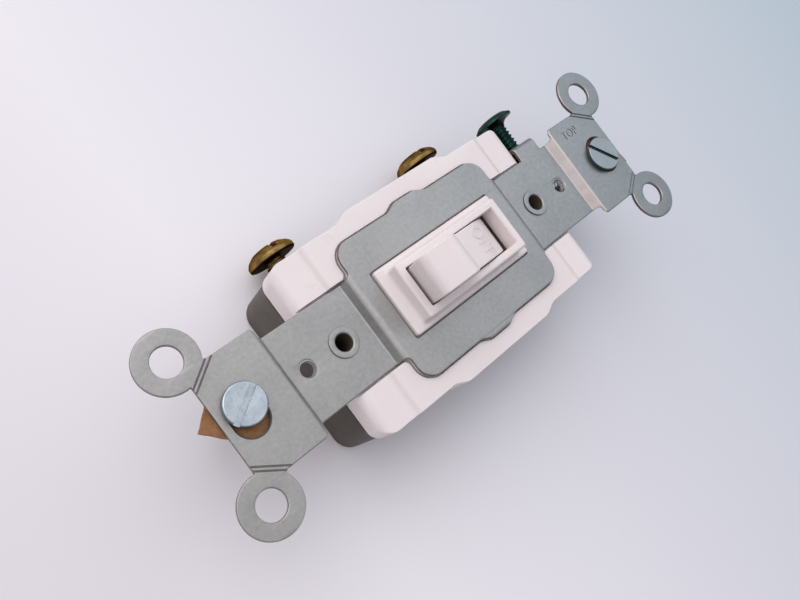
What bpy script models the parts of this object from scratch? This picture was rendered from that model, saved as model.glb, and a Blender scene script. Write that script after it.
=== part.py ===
"""Single-pole toggle wall switch: mounting strap, two-part housing, toggle, contacts, terminals and screws.

Frame: origin at the centre of the housing's flat back, +X towards the strap's top end (the ON side),
+Y towards the side with the terminal screws, +Z out of the wall. Metres. The lever rests at OFF,
towards -X.
"""

import math

import bmesh
import bpy
from mathutils import Matrix, Vector

MM = 0.001

# Driving sizes
FACE_Z = 22.0 * MM            # front of the strap's end flanges above the housing's back
CLEARANCE = 0.2 * MM          # gap between pieces that touch on the real switch
STRAP_THICK = 0.8 * MM
NECK_Z = 20.18 * MM           # front of the necks, behind the flanges and the centre plate
PLATE_RISER_X = (17.2 * MM, 17.85 * MM)      # the steep bends down to the neck...
FLANGE_RISER_X = (33.35 * MM, 34.0 * MM)     # ...and up to the flange
PLATE_HALF_X = 16.5 * MM
PLATE_HALF_Y = 12.6 * MM
NECK_HALF_Y = 7.55 * MM
FLANGE_START_X = 33.9 * MM
FLANGE_END_X = 45.7 * MM
FLANGE_HALF_Y = 9.4 * MM
SCORE_X = 41.7 * MM           # the ear's score line runs from here on the flange's side...
SCORE_Y = 6.65 * MM           # ...to here on its end
EAR_X = 46.31 * MM
EAR_Y = 11.85 * MM
EAR_R = 4.74 * MM
EAR_HOLE_R = 2.26 * MM
SLOT_X = 41.65 * MM           # mounting screws, 83.3 mm apart
SLOT_R = 2.8 * MM
SLOT_HALF_LENGTH = 3.7 * MM
PLATE_SCREW_X = 30.15 * MM    # tapped holes for the wall plate, 60.3 mm apart
PLATE_SCREW_R = 1.4 * MM
EYELET_X = 23.1 * MM
EYELET_HOLE_R = 2.1 * MM
BELOW = -30 * MM              # cutters that pass right through run from here...
ABOVE = 30 * MM               # ...to here
WINDOW_HALF_X = 13.6 * MM
WINDOW_HALF_Y = 6.2 * MM

COVER_HALF_X = 26.4 * MM
HOUSING_HALF_Y = 15.5 * MM
BULGE_HALF_Y = 16.6 * MM
BULGE_HALF_X = 10.0 * MM
PARTING_Z = 14.2 * MM
RAIL_Z = 21.0 * MM            # cover beside the centre plate
BLOCK_Z = 20.2 * MM           # cover's end blocks beside the necks
CHANNEL_Z = 19.1 * MM
CEILING_Z = 17.4 * MM
FLOOR_Z = 1.5 * MM
CAVITY_HALF_X = 20.4 * MM
CAVITY_HALF_Y = 14.3 * MM

COLLAR_BASE = (13.4 * MM, 6.0 * MM, 22.7 * MM)      # half length, half width, top
COLLAR_RIM = (11.5 * MM, 4.9 * MM, 25.8 * MM)
COLLAR_OPENING = (10.07 * MM, 3.55 * MM)

PIVOT_Z = 15.0 * MM
BARREL_R = 12.0 * MM
BARREL_WALL = 1.7 * MM
BARREL_REACH = math.radians(75)
TOGGLE_HALF_Y = 3.35 * MM
LEVER_END_R = 21.0 * MM
LEVER_ROOT_HALF = 4.7 * MM
LEVER_TIP_HALF = 3.35 * MM
LEVER_TIP_ROUND = 1.9 * MM
THROW = math.radians(49.2)
TRUNNION_R = 2.0 * MM
WEB_HALF = 3.2 * MM
SOCKET_DROP = 4.5 * MM        # centre of the spring cup's socket below the pivot
SOCKET_R = 2.5 * MM
CAM_HALF = 1.5 * MM
CAM_END_R = 6.0 * MM

SPRING_SEAT_Z = 2.2 * MM
SPRING_TILT = math.atan2(SOCKET_DROP * math.sin(THROW / 2),
                         PIVOT_Z - SPRING_SEAT_Z - SOCKET_DROP * math.cos(THROW / 2))
CUP_CENTRE = 8.7 * MM         # along the spring from its seat
CUP_R = 2.0 * MM

ARM_HINGE = Vector((3.4 * MM, 0.0, 2.9 * MM))
ARM_SWING = math.radians(8.0)
CONTACT_Y = 11.2 * MM
CONTACT_Z = 10.6 * MM
CONTACT_R = 1.5 * MM

TERMINAL_X = 18.0 * MM
TERMINAL_Z = 5.5 * MM
TERMINAL_Y = (13.1 * MM, 14.1 * MM)
TERMINAL_HEAD_R = 4.5 * MM
TERMINAL_HEAD_HEIGHT = 2.4 * MM
TERMINAL_HEAD_Y = {"line": 18.5 * MM, "load": 19.0 * MM}   # underside of each head, backed out
GROUND_X = 29.1 * MM
GROUND_Z = 17.0 * MM
GROUND_HEAD_R = 3.8 * MM
GROUND_HEAD_Y = 16.1 * MM
GROUND_TAB_Y = 10.4 * MM
GROUND_TAB_END_Z = 13.0 * MM
GROUND_TAB_HALF_X = 2.65 * MM
BOTTOM_SCREW = (-41.45 * MM, 1.15 * MM)
TOP_SCREW = (41.4 * MM, -0.15 * MM)
WASHER_HALF = 4.75 * MM


# ---------------------------------------------------------------- outlines

def arc(centre, radius, start, end, steps):
    """Points on an arc, angles in degrees counter-clockwise from +X of the outline's plane."""
    angles = [math.radians(start + (end - start) * i / steps) for i in range(steps + 1)]
    return [(centre[0] + radius * math.cos(a), centre[1] + radius * math.sin(a)) for a in angles]


def rounded(corners, steps=5):
    """A closed outline from (u, v, radius) corners, each rounded with an arc."""
    points = []
    count = len(corners)
    for i, (u, v, radius) in enumerate(corners):
        here = Vector((u, v))
        if radius <= 0:
            points.append((u, v))
            continue
        before = (Vector(corners[i - 1][:2]) - here).normalized()
        after = (Vector(corners[(i + 1) % count][:2]) - here).normalized()
        half = math.acos(max(-1.0, min(1.0, before.dot(after)))) / 2
        centre = here + (before + after).normalized() * (radius / math.sin(half))
        first = here + before * (radius / math.tan(half)) - centre
        sweep = math.pi - 2 * half
        turn = 1 if before.cross(after) < 0 else -1
        for k in range(steps + 1):
            point = centre + Matrix.Rotation(turn * sweep * k / steps, 2) @ first
            points.append((point.x, point.y))
    return points


def rectangle(half_u, half_v, radius=0.0, steps=5):
    """A rectangle about the origin with rounded corners."""
    corners = [(half_u, half_v), (-half_u, half_v), (-half_u, -half_v), (half_u, -half_v)]
    return rounded([(u, v, radius) for u, v in corners], steps)


def shifted(points, du, dv):
    """The same outline moved by (du, dv)."""
    return [(u + du, v + dv) for u, v in points]


def sheet_section(line, thickness):
    """A closed section of bent sheet: the line is its upper side, from left to right."""
    lower = []
    for i, (u, v) in enumerate(line):
        here = Vector((u, v))
        a = here - Vector(line[i - 1]) if i > 0 else Vector(line[1]) - here
        b = Vector(line[i + 1]) - here if i < len(line) - 1 else a
        normal_a = Vector((-a.y, a.x)).normalized()
        normal_b = Vector((-b.y, b.x)).normalized()
        mitre = (normal_a + normal_b).normalized()
        lower.append(tuple(here - mitre * (thickness / mitre.dot(normal_a))))
    return list(line) + lower[::-1]


# ---------------------------------------------------------------- solids

def to_object(name, bm):
    """A new object from a bmesh, its faces pointing out."""
    bmesh.ops.remove_doubles(bm, verts=bm.verts, dist=1e-7)
    bmesh.ops.recalc_face_normals(bm, faces=bm.faces)
    mesh = bpy.data.meshes.new(name)
    bm.to_mesh(mesh)
    bm.free()
    obj = bpy.data.objects.new(name, mesh)
    bpy.context.scene.collection.objects.link(obj)
    return obj


def prism(name, outline, plane, low, high):
    """The outline, in plane XY, XZ or YZ, extruded along the third axis from low to high."""
    place = {"XY": lambda u, v, w: (u, v, w),
             "XZ": lambda u, v, w: (u, w, v),
             "YZ": lambda u, v, w: (w, u, v)}[plane]
    bm = bmesh.new()
    ends = [[bm.verts.new(place(u, v, w)) for u, v in outline] for w in (low, high)]
    for ring in ends:
        bm.faces.new(ring)
    for i in range(len(outline)):
        j = (i + 1) % len(outline)
        bm.faces.new((ends[0][i], ends[0][j], ends[1][j], ends[1][i]))
    return to_object(name, bm)


def block(name, low, high):
    """An upright box between two corners."""
    outline = [(low[0], low[1]), (high[0], low[1]), (high[0], high[1]), (low[0], high[1])]
    return prism(name, outline, "XY", low[2], high[2])


def turned(name, profile, base, axis, segments=24):
    """A turned piece: (radius, height) pairs along its axis from the base; radius 0 closes it."""
    frame = Vector(axis).normalized().to_track_quat("Z", "Y").to_matrix()
    bm = bmesh.new()
    rings = []
    for radius, height in profile:
        if radius <= 0:
            ring = [bm.verts.new(Vector(base) + frame @ Vector((0, 0, height)))]
        else:
            ring = []
            for i in range(segments):
                a = 2 * math.pi * (i + 0.5) / segments
                point = Vector((radius * math.cos(a), radius * math.sin(a), height))
                ring.append(bm.verts.new(Vector(base) + frame @ point))
        rings.append(ring)
    for low, high in zip(rings, rings[1:]):
        for i in range(segments):
            j = (i + 1) % segments
            if len(low) == 1:
                bm.faces.new((low[0], high[j], high[i]))
            elif len(high) == 1:
                bm.faces.new((low[i], low[j], high[0]))
            else:
                bm.faces.new((low[i], low[j], high[j], high[i]))
    return to_object(name, bm)


def tube_piece(name, profile, base, axis, segments=24):
    """A turned ring: a closed (radius, height) loop that stays off the axis."""
    frame = Vector(axis).normalized().to_track_quat("Z", "Y").to_matrix()
    bm = bmesh.new()
    rings = []
    for radius, height in profile:
        angles = [2 * math.pi * (i + 0.5) / segments for i in range(segments)]
        points = [Vector((radius * math.cos(a), radius * math.sin(a), height)) for a in angles]
        rings.append([bm.verts.new(Vector(base) + frame @ p) for p in points])
    for k, low in enumerate(rings):
        high = rings[(k + 1) % len(rings)]
        for i in range(segments):
            j = (i + 1) % segments
            bm.faces.new((low[i], low[j], high[j], high[i]))
    return to_object(name, bm)


def coil(name, base, axis, mean_r, wire_r, length, turns, per_turn=12, sides=6):
    """A compression spring: a round wire swept along a helix, with capped ends."""
    frame = Vector(axis).normalized().to_track_quat("Z", "Y").to_matrix()
    steps = int(turns * per_turn)
    rise = (length - 2 * wire_r) / steps
    bm = bmesh.new()
    rings = []
    for i in range(steps + 1):
        a = 2 * math.pi * i / per_turn
        outward = Vector((math.cos(a), math.sin(a), 0))
        along = Vector((-math.sin(a) * mean_r * 2 * math.pi / per_turn,
                        math.cos(a) * mean_r * 2 * math.pi / per_turn, rise)).normalized()
        centre = outward * mean_r + Vector((0, 0, wire_r + rise * i))
        up = along.cross(outward)
        ring = []
        for k in range(sides):
            b = 2 * math.pi * k / sides
            point = centre + (outward * math.cos(b) + up * math.sin(b)) * wire_r
            ring.append(bm.verts.new(Vector(base) + frame @ point))
        rings.append(ring)
    for low, high in zip(rings, rings[1:]):
        for k in range(sides):
            m = (k + 1) % sides
            bm.faces.new((low[k], low[m], high[m], high[k]))
    bm.faces.new(rings[0])
    bm.faces.new(rings[-1])
    return to_object(name, bm)


def combine(target, other, operation):
    """Joins, cuts or intersects the target with the other object, which becomes a hidden guide."""
    modifier = target.modifiers.new(other.name, "BOOLEAN")
    modifier.operation = operation
    modifier.object = other
    modifier.solver = "EXACT"
    other.hide_render = True
    other.display_type = "WIRE"
    other.name = "guide_" + other.name
    return target


def cut(target, other):
    return combine(target, other, "DIFFERENCE")


def join(target, other):
    return combine(target, other, "UNION")


def finish(obj, material):
    """Gives the piece its material and smooth round faces."""
    obj.data.materials.append(material)
    obj.data.shade_smooth()
    obj.data.set_sharp_from_angle(angle=math.radians(30))
    return obj


def move_origin(obj, point):
    """Puts the object's origin on its joint's axis without moving its shape."""
    obj.data.transform(Matrix.Translation(-Vector(point)))
    obj.location = point


def material(name, colour, roughness, metallic=0.0):
    """A Principled material."""
    made = bpy.data.materials.new(name)
    made.use_nodes = True
    shader = made.node_tree.nodes["Principled BSDF"]
    shader.inputs["Base Color"].default_value = (*colour, 1.0)
    shader.inputs["Roughness"].default_value = roughness
    shader.inputs["Metallic"].default_value = metallic
    made.diffuse_color = (*colour, 1.0)
    return made


# ---------------------------------------------------------------- strap

def strap_outline():
    """The strap's outline in plan, one quarter mirrored round."""
    ear = arc((EAR_X, EAR_Y), EAR_R, 208, -97, 16)
    quarter = [(2.2 * MM, 13.5 * MM, 2 * MM), (4.2 * MM, PLATE_HALF_Y, 2 * MM),
               (PLATE_HALF_X, PLATE_HALF_Y, 3 * MM), (PLATE_HALF_X, NECK_HALF_Y, 0.8 * MM),
               (FLANGE_START_X, NECK_HALF_Y, 0.5 * MM), (FLANGE_START_X, FLANGE_HALF_Y, 0.8 * MM),
               (SCORE_X, FLANGE_HALF_Y, 0)]
    quarter += [(x, y, 0) for x, y in ear] + [(FLANGE_END_X, SCORE_Y, 0)]
    right = quarter + [(x, -y, r) for x, y, r in reversed(quarter)]
    left = [(-x, y, r) for x, y, r in reversed(right)]
    return rounded(right + left, 4)


def strap_section():
    """The strap's bent section along X, extended past its ends."""
    half = [(PLATE_RISER_X[0], FACE_Z), (PLATE_RISER_X[1], NECK_Z), (FLANGE_RISER_X[0], NECK_Z),
            (FLANGE_RISER_X[1], FACE_Z), (55 * MM, FACE_Z)]
    line = [(-x, z) for x, z in reversed(half)] + half
    return sheet_section(line, STRAP_THICK)


def ground_tab():
    """The ear beside the top neck, bent down to take the ground screw."""
    bend = 1.0 * MM
    line = [(NECK_HALF_Y - 1.5 * MM, NECK_Z)]
    line += arc((GROUND_TAB_Y - bend, NECK_Z - bend), bend, 90, 0, 4)
    line.append((GROUND_TAB_Y, GROUND_TAB_END_Z))
    return prism("ground_tab", sheet_section(line, STRAP_THICK), "YZ",
                 GROUND_X - GROUND_TAB_HALF_X, GROUND_X + GROUND_TAB_HALF_X)


def score_groove(side_x, side_y):
    """A V-groove across an ear's neck."""
    start = Vector((SCORE_X * side_x, FLANGE_HALF_Y * side_y, FACE_Z))
    end = Vector((FLANGE_END_X * side_x, SCORE_Y * side_y, FACE_Z))
    along = (end - start).normalized()
    across = along.cross(Vector((0, 0, 1)))
    half_width, depth, past = 0.25 * MM, 0.35 * MM, 1.0 * MM
    bm = bmesh.new()
    ends = []
    for centre in (start - along * past, end + along * past):
        lift = Vector((0, 0, 0.2 * MM))
        ends.append([bm.verts.new(centre + across * half_width + lift),
                     bm.verts.new(centre - across * half_width + lift),
                     bm.verts.new(centre - Vector((0, 0, depth)))])
    for ring in ends:
        bm.faces.new(ring)
    for i in range(3):
        j = (i + 1) % 3
        bm.faces.new((ends[0][i], ends[0][j], ends[1][j], ends[1][i]))
    return to_object("score_groove", bm)


def make_strap(steel):
    strap = prism("strap", strap_outline(), "XY", 15 * MM, 25 * MM)
    combine(strap, prism("strap_section", strap_section(), "XZ", BELOW, ABOVE), "INTERSECT")
    join(strap, ground_tab())
    window = rectangle(WINDOW_HALF_X, WINDOW_HALF_Y, 0.3 * MM, 2)
    cut(strap, prism("window", window, "XY", BELOW, ABOVE))
    for side in (-1, 1):
        slot = rectangle(SLOT_R, SLOT_HALF_LENGTH, SLOT_R * 0.999, 6)
        cut(strap, prism("slot", shifted(slot, SLOT_X * side, 0), "XY", BELOW, ABOVE))
        plate_hole = arc((PLATE_SCREW_X * side, 0), PLATE_SCREW_R, 0, 337.5, 15)
        cut(strap, prism("plate_hole", plate_hole, "XY", BELOW, ABOVE))
        eyelet_hole = arc((EYELET_X * side, 0), EYELET_HOLE_R, 0, 337.5, 15)
        cut(strap, prism("eyelet_hole", eyelet_hole, "XY", BELOW, ABOVE))
        for side_y in (-1, 1):
            ear_hole = arc((EAR_X * side, EAR_Y * side_y), EAR_HOLE_R, 0, 342, 19)
            cut(strap, prism("ear_hole", ear_hole, "XY", BELOW, ABOVE))
            cut(strap, score_groove(side, side_y))
    tapped = arc((GROUND_X, GROUND_Z), 1.9 * MM, 0, 337.5, 15)
    cut(strap, prism("ground_hole", tapped, "XZ", 8 * MM, 12 * MM))
    return finish(strap, steel)


# ---------------------------------------------------------------- housing

def cover_section():
    """The front cover's section along X: rails in the middle, lower blocks at the ends."""
    end_round = 2.0 * MM
    half = [(19.5 * MM, RAIL_Z, 0), (20.8 * MM, BLOCK_Z, 0), (COVER_HALF_X, BLOCK_Z, end_round),
            (COVER_HALF_X, PARTING_Z + CLEARANCE / 2, 0)]
    return rounded([(-x, z, r) for x, z, r in reversed(half)] + half, 4)


def make_front_cover(plastic):
    bottom = PARTING_Z + CLEARANCE / 2
    quarter = [(BULGE_HALF_X, BULGE_HALF_Y, 1.2 * MM), (12.4 * MM, HOUSING_HALF_Y, 1.2 * MM),
               (COVER_HALF_X, HOUSING_HALF_Y, 2.3 * MM)]
    right = quarter + [(x, -y, r) for x, y, r in reversed(quarter)]
    outline = rounded(right + [(-x, y, r) for x, y, r in reversed(right)], 4)
    cover = prism("front_cover", outline, "XY", bottom, ABOVE)
    combine(cover, prism("cover_section", cover_section(), "XZ", BELOW, ABOVE), "INTERSECT")
    channel_y = NECK_HALF_Y + 0.35 * MM
    for side in (-1, 1):
        near, far = sorted((16.3 * MM * side, 30 * MM * side))
        cut(cover, block("channel", (near, -channel_y, CHANNEL_Z), (far, channel_y, ABOVE)))
    for name, (half_x, half_y, top) in (("collar_base", COLLAR_BASE), ("collar_rim", COLLAR_RIM)):
        join(cover, prism(name, rectangle(half_x, half_y, 0.4 * MM, 3), "XY", 18 * MM, top))
    cut(cover, prism("opening", rectangle(*COLLAR_OPENING), "XY", BELOW, ABOVE))
    room = arc((0, PIVOT_Z), BARREL_R + 0.5 * MM, 0, 354, 59)
    cut(cover, prism("barrel_room", room, "XZ", -COLLAR_OPENING[1], COLLAR_OPENING[1]))
    for side in (-1, 1):
        near, far = sorted((5.2 * MM * side, 13.9 * MM * side))
        cut(cover, block("cavity", (-CAVITY_HALF_X, near, BELOW), (CAVITY_HALF_X, far, CEILING_Z)))
        eyelet_hole = arc((EYELET_X * side, 0), EYELET_HOLE_R, 0, 337.5, 15)
        cut(cover, prism("cover_eyelet_hole", eyelet_hole, "XY", BELOW, ABOVE))
    scallop = arc((GROUND_X, GROUND_Z), GROUND_HEAD_R + 0.25 * MM, 0, 350, 35)
    cut(cover, prism("ground_head_room", scallop, "XZ", GROUND_TAB_Y + CLEARANCE, 18 * MM))
    saddle = [(-2.3 * MM, 10 * MM), (2.3 * MM, 10 * MM)] + arc((0, PIVOT_Z), 2.3 * MM, 0, 180, 10)
    cut(cover, prism("saddle_room", saddle, "XZ", -7.4 * MM, 7.4 * MM))
    return finish(cover, plastic)


def make_rear_body(plastic):
    body = prism("rear_body", rectangle(COVER_HALF_X, HOUSING_HALF_Y, 3.5 * MM, 5), "XY",
                 0, PARTING_Z - CLEARANCE / 2)
    cavity = rectangle(CAVITY_HALF_X, CAVITY_HALF_Y, 1.0 * MM, 2)
    cut(body, prism("body_cavity", cavity, "XY", FLOOR_Z, ABOVE))
    top = PARTING_Z - CLEARANCE / 2
    for side in (-1, 1):
        near, far = sorted((4.2 * MM * side, 7.4 * MM * side))
        join(body, block("bearing_post", (-3.9 * MM, near, 1 * MM), (3.9 * MM, far, top)))
        near, far = sorted((7.3 * MM * side, 8.5 * MM * side))
        join(body, block("bumper_rib", (near, -3.6 * MM, 1 * MM), (far, 3.6 * MM, 12.8 * MM)))
    join(body, block("spring_rib", (9.0 * MM, 9.0 * MM, 1 * MM), (10.4 * MM, 12.8 * MM, 12.4 * MM)))
    cut(body, prism("saddle", arc((0, PIVOT_Z), 2.2 * MM, 0, 345, 23), "XZ", -8 * MM, 8 * MM))
    join(body, turned("spring_boss", [(0, 0), (1.1 * MM, 0), (0.9 * MM, 1.2 * MM), (0, 1.2 * MM)],
                      (0, 0, 1.4 * MM), (0, 0, 1), 12))
    recess_top = 10.4 * MM
    for side in (-1, 1):
        near, far = sorted((13.4 * MM * side, 22.6 * MM * side))
        cut(body, block("terminal_opening", (near, 12.8 * MM, 1.6 * MM), (far, ABOVE, recess_top)))
        cut(body, block("head_room", (near, TERMINAL_Y[1] + CLEARANCE, 0.7 * MM), (far, ABOVE, recess_top)))
        eyelet_hole = arc((EYELET_X * side, 0), EYELET_HOLE_R, 0, 337.5, 15)
        cut(body, prism("body_eyelet_hole", eyelet_hole, "XY", BELOW, ABOVE))
        well = arc((EYELET_X * side, 0), 2.8 * MM, 0, 342, 19)
        cut(body, prism("eyelet_well", well, "XY", BELOW, 0.9 * MM))
    return finish(body, plastic)


def make_eyelet(name, side, steel):
    """A tubular rivet from the neck to the housing's back, flared at both ends."""
    outer, inner, flare = 1.85 * MM, 1.4 * MM, 2.45 * MM
    seat = NECK_Z + CLEARANCE / 2
    loop = [(outer, 0.5 * MM), (flare, 0.5 * MM), (flare, 0.2 * MM), (inner + 0.3 * MM, 0.1 * MM),
            (inner, 0.5 * MM), (inner, NECK_Z - 0.3 * MM), (inner + 0.35 * MM, NECK_Z + 0.28 * MM),
            (flare, NECK_Z + 0.28 * MM), (flare, seat), (outer, seat)]
    eyelet = tube_piece(name, loop, (EYELET_X * side, 0, 0), (0, 0, 1), 16)
    return finish(eyelet, steel)


# ---------------------------------------------------------------- toggle

def toggle_profile():
    """Lever, barrel, web and spring socket about the pivot, with the lever straight up."""
    reach = math.degrees(BARREL_REACH)
    start = math.degrees(math.asin(LEVER_ROOT_HALF / BARREL_R))
    inner_r = BARREL_R - BARREL_WALL
    web = math.degrees(math.asin(WEB_HALF / inner_r))
    tip = rounded([(LEVER_ROOT_HALF, 0, 0), (LEVER_TIP_HALF, LEVER_END_R, LEVER_TIP_ROUND),
                   (-LEVER_TIP_HALF, LEVER_END_R, LEVER_TIP_ROUND), (-LEVER_ROOT_HALF, 0, 0)], 4)
    points = tip[1:-1]
    points += arc((0, 0), BARREL_R, 90 + start, 90 + reach, 12)
    points += arc((0, 0), inner_r, 90 + reach, 90 + web, 8)
    points.append((-WEB_HALF, -SOCKET_DROP))
    points += arc((0, -SOCKET_DROP), SOCKET_R, 180, 0, 10)
    points.append((WEB_HALF, -SOCKET_DROP))
    points += arc((0, 0), inner_r, 90 - web, 90 - reach, 8)
    points += arc((0, 0), BARREL_R, 90 - reach, 90 - start, 12)
    return points


def make_toggle(plastic):
    toggle = prism("toggle", toggle_profile(), "XZ", -TOGGLE_HALF_Y, TOGGLE_HALF_Y)
    axle = [(0, -6.9 * MM), (TRUNNION_R, -6.9 * MM), (TRUNNION_R, 9.2 * MM), (0, 9.2 * MM)]
    join(toggle, turned("trunnions", axle, (0, 0, 0), (0, 1, 0), 20))
    cam = [(CAM_HALF, 1 * MM), (-CAM_HALF, 1 * MM), (-CAM_HALF, -CAM_END_R), (CAM_HALF, -CAM_END_R)]
    join(toggle, prism("cam", cam, "XZ", 7.8 * MM, 9.0 * MM))
    hub_parts = [modifier.object for modifier in toggle.modifiers]
    for obj in [toggle] + hub_parts:
        obj.data.transform(Matrix.Rotation(-THROW / 2, 4, "Y"))
        obj.location = (0, 0, PIVOT_Z)
    return finish(toggle, plastic)


def spring_direction():
    return Vector((math.sin(SPRING_TILT), 0, math.cos(SPRING_TILT)))


def make_detent_spring(steel):
    base = Vector((0, 0, SPRING_SEAT_Z)) + spring_direction() * 0.5 * MM
    spring = coil("detent_spring", base, spring_direction(), 1.5 * MM, 0.25 * MM, 6.5 * MM, 7)
    move_origin(spring, (0, 0, SPRING_SEAT_Z))
    return finish(spring, steel)


def make_spring_cup(plastic):
    base = Vector((0, 0, SPRING_SEAT_Z)) + spring_direction() * CUP_CENTRE
    dome = [(r, h) for r, h in arc((0, 0), CUP_R, 0, 90, 6)][:-1] + [(0, CUP_R)]
    profile = [(0, -1.5 * MM), (1.85 * MM, -1.5 * MM), (1.85 * MM, -0.3 * MM)] + dome
    cup = turned("spring_cup", profile, base, spring_direction(), 20)
    move_origin(cup, (0, 0, SPRING_SEAT_Z))
    return finish(cup, plastic)


def make_bumper(name, side, rubber):
    near, far = sorted((5.3 * MM * side, 7.1 * MM * side))
    return finish(block(name, (near, -3.0 * MM, 9.6 * MM), (far, 3.0 * MM, 12.8 * MM)), rubber)


# ---------------------------------------------------------------- contacts and terminals

def swing_open(obj):
    """Turns a contact piece modelled closed to where it rests, open, about the arm's foot."""
    obj.data.transform(Matrix.Translation(-ARM_HINGE))
    obj.data.transform(Matrix.Rotation(ARM_SWING, 4, "Y"))
    obj.location = ARM_HINGE


def make_contact_arm(bronze):
    half = 0.3 * MM
    x = ARM_HINGE.x
    outline = rounded([(7.7 * MM, ARM_HINGE.z, 0.3 * MM), (13 * MM, ARM_HINGE.z, 0.3 * MM),
                       (13 * MM, 12.8 * MM, 1.2 * MM), (7.7 * MM, 12.8 * MM, 1.2 * MM)], 3)
    arm = prism("contact_arm", outline, "YZ", x - half, x + half)
    hole = arc((CONTACT_Y, CONTACT_Z), 0.75 * MM, 0, 324, 9)
    hole_cut = prism("contact_hole", hole, "YZ", x - 2 * MM, x + 2 * MM)
    cut(arm, hole_cut)
    swing_open(hole_cut)
    swing_open(arm)
    return finish(arm, bronze)


def contact_profile():
    """A rivet-shaped contact: a domed head, then a shank."""
    return [(0, 0), (CONTACT_R * 0.8, 0), (CONTACT_R, 0.25 * MM), (CONTACT_R, 0.8 * MM),
            (0.6 * MM, 0.8 * MM), (0.6 * MM, 2.0 * MM), (0, 2.0 * MM)]


def make_moving_contact(silver):
    tip = (ARM_HINGE.x - 1.2 * MM, CONTACT_Y, CONTACT_Z)
    contact = turned("moving_contact", contact_profile(), tip, (1, 0, 0), 18)
    swing_open(contact)
    return finish(contact, silver)


def make_fixed_contact(silver):
    tip = (2.1 * MM, CONTACT_Y, CONTACT_Z)
    return finish(turned("fixed_contact", contact_profile(), tip, (-1, 0, 0), 18), silver)


def make_line_terminal(brass):
    inner, outer = TERMINAL_Y
    leg_y = 9.6 * MM
    outline = [(-22.3 * MM, outer), (-22.3 * MM, inner), (0.2 * MM, inner), (0.2 * MM, leg_y),
               (1.2 * MM, leg_y), (1.2 * MM, outer)]
    terminal = prism("line_terminal", outline, "XY", 1.9 * MM, 12.6 * MM)
    cut(terminal, block("strip_below", (-13.7 * MM, 5 * MM, 0), (5 * MM, 16 * MM, 6.5 * MM)))
    cut(terminal, block("tab_above", (-25 * MM, 5 * MM, 10.1 * MM), (-13.7 * MM, 16 * MM, 15 * MM)))
    hole = arc((-TERMINAL_X, TERMINAL_Z), 2.15 * MM, 0, 337.5, 15)
    cut(terminal, prism("line_screw_hole", hole, "XZ", 12 * MM, 16 * MM))
    rivet = arc((CONTACT_Y, CONTACT_Z), 0.75 * MM, 0, 324, 9)
    cut(terminal, prism("line_contact_hole", rivet, "YZ", -1 * MM, 3 * MM))
    return finish(terminal, brass)


def make_load_terminal(brass):
    inner, outer = TERMINAL_Y
    outline = [(2.4 * MM, 1.9 * MM), (22.3 * MM, 1.9 * MM), (22.3 * MM, 10.1 * MM),
               (13.7 * MM, 10.1 * MM), (13.7 * MM, 5 * MM), (2.4 * MM, 5 * MM)]
    terminal = prism("load_terminal", outline, "XZ", inner, outer)
    join(terminal, block("arm_foot", (2.4 * MM, 7.7 * MM, 1.75 * MM), (6 * MM, outer - 0.2 * MM, 2.6 * MM)))
    hole = arc((TERMINAL_X, TERMINAL_Z), 2.15 * MM, 0, 337.5, 15)
    cut(terminal, prism("load_screw_hole", hole, "XZ", 12 * MM, 16 * MM))
    return finish(terminal, brass)


def make_contact_spring(steel):
    spring = coil("contact_spring", (5.9 * MM, CONTACT_Y, CONTACT_Z), (1, 0, 0), 1.2 * MM, 0.2 * MM,
                  2.9 * MM, 4, 10)
    return finish(spring, steel)


# ---------------------------------------------------------------- screws

def slot_across(obj, centre, axis, across, width, depth):
    """Cuts a screwdriver slot: centre is on the head's face, axis points out of it."""
    axis, across = Vector(axis).normalized(), Vector(across).normalized()
    side = axis.cross(across)
    reach = 6 * MM
    frame = Matrix((across, side, axis)).transposed().to_4x4()
    cutter = block(obj.name + "_slot", (-reach, -width / 2, -depth), (reach, width / 2, 1 * MM))
    cutter.data.transform(Matrix.Translation(centre) @ frame)
    return cut(obj, cutter)


def make_terminal_screw(name, side, head_y, brass):
    """A binding-head screw, backed out: a thick round-edged head with a straight slot."""
    rim, top = TERMINAL_HEAD_R, TERMINAL_HEAD_HEIGHT
    head = [(1.95 * MM, 0), (rim * 0.92, 0), (rim, 0.35 * MM), (rim, top * 0.5), (rim * 0.93, top * 0.75),
            (rim * 0.72, top * 0.95), (0, top)]
    profile = [(0, -9.0 * MM), (1.6 * MM, -9.0 * MM), (1.95 * MM, -8.5 * MM)] + head
    base = Vector((TERMINAL_X * side, head_y, TERMINAL_Z))
    screw = turned(name, profile, base, (0, 1, 0), 28)
    slot_across(screw, base + Vector((0, top, 0)), (0, 1, 0), (0, 0, 1), 1.2 * MM, 1.1 * MM)
    return finish(screw, brass)


def make_ground_screw(green):
    """The green screw in the strap's bent tab, backed out: a wide thin head that flares from its shank."""
    head, shank = GROUND_HEAD_R, 1.5 * MM
    profile = [(0, -9.5 * MM), (1.2 * MM, -9.5 * MM), (shank, -9.0 * MM), (shank, -1.3 * MM),
               (1.9 * MM, -0.5 * MM), (2.8 * MM, 0), (head, 0.15 * MM), (head, 0.6 * MM),
               (head * 0.9, 1.05 * MM), (head * 0.6, 1.35 * MM), (0, 1.5 * MM)]
    base = Vector((GROUND_X, GROUND_HEAD_Y, GROUND_Z))
    screw = turned("ground_screw", profile, base, (0, 1, 0), 28)
    slot_across(screw, base + Vector((0, 1.5 * MM, 0)), (0, 1, 0), (1, 0, 0.3), 1.0 * MM, 0.9 * MM)
    return finish(screw, green)


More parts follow.
